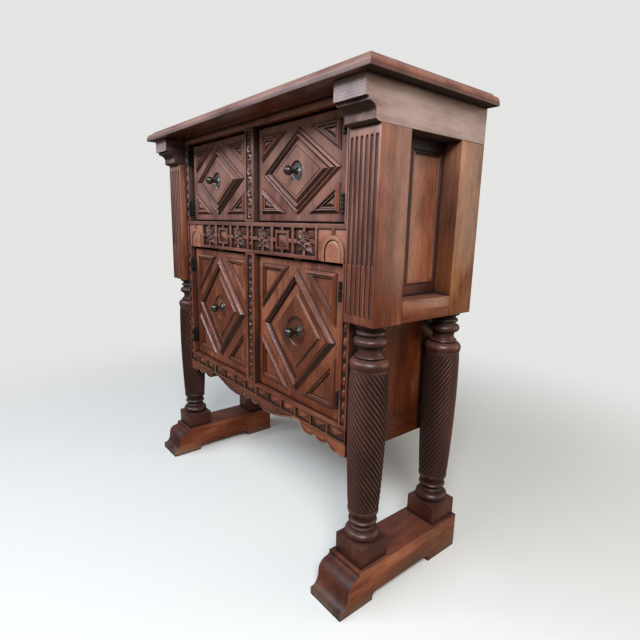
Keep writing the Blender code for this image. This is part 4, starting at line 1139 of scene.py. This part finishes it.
def make_door(level, side, sign):
    name = f"{level}_door_{side}"
    upper = level == "upper"
    low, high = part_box(name)
    middle = ((low.x + high.x) / 2, (low.z + high.z) / 2)
    radius, wall, depth = UPPER_DISH if upper else LOWER_DISH
    dish = half_round(wall, depth, -1)
    inset, base, rises = UPPER_FIELD if upper else LOWER_FIELD
    outline = diamond(middle, UPPER_DIAMOND if upper else LOWER_DIAMOND)
    ground = front(DOOR_FACE)
    tone, paler = DOOR_TONES[name]
    whole = fresh()
    drop = 0.0 if upper else LOWER_DOOR_DROP
    pocket = (oval(*middle, (radius + 0.002, radius + 0.002), 40), ((0.0002, -POCKET),))
    soft = UPPER_ARRIS if upper else LOWER_ARRIS
    around = rectangle(low.x, low.z - drop, high.x, high.z - drop)
    leaf = plate(around, high.y - DOOR_FACE, soft, forms=[pocket])
    into(whole, lay(leaf, DEEP, tone), ground)
    section = UPPER_CORNER_SECTION if upper else LOWER_CORNER_SECTION
    for triangle in corner_outlines(low, high, sign, UPPER_CORNER if upper else LOWER_CORNER):
        into(whole, mitred(triangle, section, tone), ground)
        if upper:
            heart = plate(shrunk(triangle, HEART_INSET), 0.002, 0.0003, HEART_STEPS)
            into(whole, lay(heart, ACROSS, tone), ground @ at(0, 0, 0.0006))
    bowl = (oval(*middle, (radius, radius), 40), dish)
    field = plate(shrunk(outline, inset), base + POCKET + SUNK, 0.0003, rises, [bowl])
    into(whole, lay(field, DEEP, tone), front(DOOR_FACE - base))
    # Paler towards the head: on the upper doors, painted light against the shadow of the top.
    paler_upwards(whole, paler, low.z, high.z)
    piece(f"{name}_leaf", whole, WALNUT, [name], name, sharp=CRISP)
    ring = placed(mitred(outline, UPPER_MOULDING if upper else LOWER_MOULDING, tone), ground)
    paler_upwards(ring, paler, low.z, high.z)
    piece(f"{name}_diamond_moulding", ring, WALNUT, [f"{name}_diamond"], name, sharp=CRISP)
    seat = DOOR_FACE - base - sum(step for _, step in (*rises, *dish))
    make_knob(name, middle, seat, *(UPPER_KNOB if upper else LOWER_KNOB))
    for place in ("top", "bottom"):
        make_hinge(f"{name}_{place}_hinge", name, sign)


KNOB_REACH, KNOB_NECK = 0.030, 0.0064
UPPER_KNOB, LOWER_KNOB = (0.0210, 0.0120, 0.45), (0.0168, 0.0140, 0.05)  # rose, ball and polish of the rose


def make_knob(name, middle, seat, rose, ball, polish):
    """A ball on a waisted neck, over a dished rose."""
    profile = [(0, -SUNK), (rose, -SUNK), (rose, 0.0006), (rose - 0.0008, 0.0014), (rose - 0.0030, 0.0012),
               (0.0118, 0.0016), (0.0105, 0.0030), (0.0088, 0.0042), (0.0070, 0.0066), (0.0060, 0.0100),
               (0.0056, 0.0130), (0.0062, 0.0152), (0.0070, 0.0162), (0.0066, 0.0176)]
    start = math.degrees(math.acos(KNOB_NECK / ball))
    profile += arc((0, KNOB_REACH), (ball, ball), -start, 90, 18)
    profile[-1] = (0, KNOB_REACH + ball)
    knob = lay(turned(profile, 32), UP)
    tint(knob, polish, lambda way, mid: mid.z < 0.0040)
    whole = placed(knob, front(seat) @ at(*middle))
    piece(f"{name}_ball_knob", whole, DARK_PEWTER, [f"{name}_knob"], name)


KNUCKLE, KNUCKLES, KNUCKLE_GAP = 0.0045, 5, 0.0003
KNUCKLE_END = ((0.0011, 0.0), (0.0003, 0.0006), (0.0, 0.0016))  # inset, and distance from its end
FRAME_LEAF, DOOR_LEAF = (0.4077, 0.4061), (0.4055, 0.4039)  # from the middle of the case


def make_hinge(name, door, sign):
    """A butt hinge: leaves let in on both sides of the gap, and a barrel of knuckles on a pin."""
    for part, body, odd in (("frame_leaf", "case", 0), ("door_leaf", door, 1)):
        node = f"{name}_{part}"
        low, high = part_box(node)
        x0, x1 = [sign * x for x in (DOOR_LEAF if odd else FRAME_LEAF)]
        whole = fresh()
        into(whole, board((x0, AXIS_Y + KNUCKLE, low.z), (x1, high.y, high.z), UP, 0.0, 0.0004))
        pitch = (high.z - low.z) / KNUCKLES
        for i in range(odd, KNUCKLES, 2):
            z0, z1 = low.z + pitch * i + KNUCKLE_GAP, low.z + pitch * (i + 1) - KNUCKLE_GAP
            profile = [(0, z0), *[(KNUCKLE - inset, z0 + rise) for inset, rise in KNUCKLE_END]]
            profile += [*[(KNUCKLE - inset, z1 - rise) for inset, rise in reversed(KNUCKLE_END)], (0, z1)]
            into(whole, lay(turned(profile, 20), UP), Matrix.Translation((sign * AXIS_X, AXIS_Y, 0)))
            into(whole, board((x0, AXIS_Y + 0.001, z0), (x1, AXIS_Y + KNUCKLE + 0.002, z1), UP, 0.0, 0.0003))
        if odd:
            for z, way in ((low.z, -1), (high.z, 1)):
                tip = lay(dome((0.0024, 0.0024), 0.0012, 12), UP)
                into(whole, tip, Matrix.Translation((sign * AXIS_X, AXIS_Y, z)) @ Matrix.Scale(way, 4, UP))
        piece(f"{node}_plate", whole, BLACK_IRON, [node], body)


# Studio

BACKDROP = (0.78, 0.78, 0.77)
FLOOR_LIT, FLOOR_SEEN = (0.36, 0.29, 0.22), (0.715, 0.69, 0.65)
# Place, what it points at, size, power and colour
LAMPS = {"window": ((-0.9, -2.7, 2.75), (0.0, 0.0, 0.7), (3.4, 0.7), 116.0, (0.74, 0.86, 1.0)),
         "sky": ((2.3, -1.8, 2.75), (0.2, 0.0, 0.8), (1.5, 1.3), 150.0, (0.93, 0.965, 1.0)),
         "wall": ((2.4, 2.2, 1.3), (0.4, 0.1, 0.9), (2.6, 2.0), 32.0, (1.0, 0.91, 0.76))}
SENSOR, LENS = 36.0, 25.876
EYE = Vector((1.183475, -0.832228, 0.893173))
RIGHT, AHEAD = Vector((0.631732, 0.774863, 0.022385)), Vector((-0.755939, 0.622185, -0.203574))


def seen_plainly(finish):
    """1 for what the camera sees, and 0 for the light that falls on the wood."""
    return finish.node("ShaderNodeLightPath", {}, {}, "Is Camera Ray")


def make_studio():
    scene = bpy.context.scene
    scene.view_settings.view_transform = "Standard"
    bm = bmesh.new()
    bmesh.ops.create_grid(bm, x_segments=1, y_segments=1, size=40)
    mesh = bpy.data.meshes.new("studio_floor")
    bm.to_mesh(mesh)
    bm.free()
    floor = bpy.data.objects.new("studio_floor", mesh)
    scene.collection.objects.link(floor)
    paint = Finish(bpy.data.materials.new("studio_paint"))
    colour = paint.mix(seen_plainly(paint), opaque(FLOOR_LIT), opaque(FLOOR_SEEN))
    paint.set(Base_Color=colour, Roughness=0.9, Specular_IOR_Level=0.1)
    mesh.materials.append(paint.material)
    place = paint.node("ShaderNodeTexCoord", {}, {}, "Object")
    away = paint.node("ShaderNodeVectorMath", {"operation": "LENGTH"}, {0: place}, "Value")
    shown = seen_plainly(paint) * paint.between(away, 0.7, 2.3)
    pale = paint.node("ShaderNodeEmission", {}, {"Color": opaque(BACKDROP), "Strength": 1.0})
    sockets = {0: shown, 1: Wire(paint, paint.shader.outputs[0]), 2: pale}
    both = paint.node("ShaderNodeMixShader", {}, sockets)
    paint.feed(paint.tree.nodes["Material Output"].inputs["Surface"], both)

    world = bpy.data.worlds.new("studio")
    scene.world = world
    sky = Finish(world)
    light = sky.node("ShaderNodeBackground", {}, {"Color": (0.90, 0.94, 1.0, 1.0), "Strength": 0.18})
    pale = sky.node("ShaderNodeBackground", {}, {"Color": opaque(BACKDROP), "Strength": 1.0})
    shown = sky.node("ShaderNodeMixShader", {}, {0: seen_plainly(sky), 1: light, 2: pale})
    sky.feed(sky.tree.nodes["World Output"].inputs["Surface"], shown)
    for name, lamp in LAMPS.items():
        add_lamp(name, *lamp)


def add_lamp(name, place, towards, size, power, colour):
    lamp = bpy.data.lights.new(name, "AREA")
    lamp.shape = "RECTANGLE"
    lamp.size, lamp.size_y = size
    lamp.energy = power
    lamp.color = colour
    made = bpy.data.objects.new(name, lamp)
    made.location = place
    made.rotation_euler = (Vector(towards) - Vector(place)).to_track_quat("-Z", "Y").to_euler()
    bpy.context.scene.collection.objects.link(made)


def make_camera():
    """Stands to the right of the front, just under the top, and looks a little down."""
    data = bpy.data.cameras.new("camera")
    data.sensor_width = SENSOR
    data.lens = LENS
    turn = Matrix((RIGHT, RIGHT.cross(AHEAD), -AHEAD)).transposed()
    camera = bpy.data.objects.new("camera", data)
    camera.matrix_world = Matrix.Translation(EYE) @ turn.to_4x4()
    bpy.context.scene.collection.objects.link(camera)
    bpy.context.scene.camera = camera


make_camera()
make_studio()
make_top()
for side, sign in SIDES:
    make_capital(side, sign)
    make_posts(side)
    make_side_panel(side, sign)
    make_foot(side, sign)
    for place in ("front", "rear"):
        make_leg(place, side, sign)
make_case()
make_frieze()
make_stiles()
make_muntins()
make_apron()
for level in ("upper", "lower"):
    for side, sign in SIDES:
        make_door(level, side, sign)
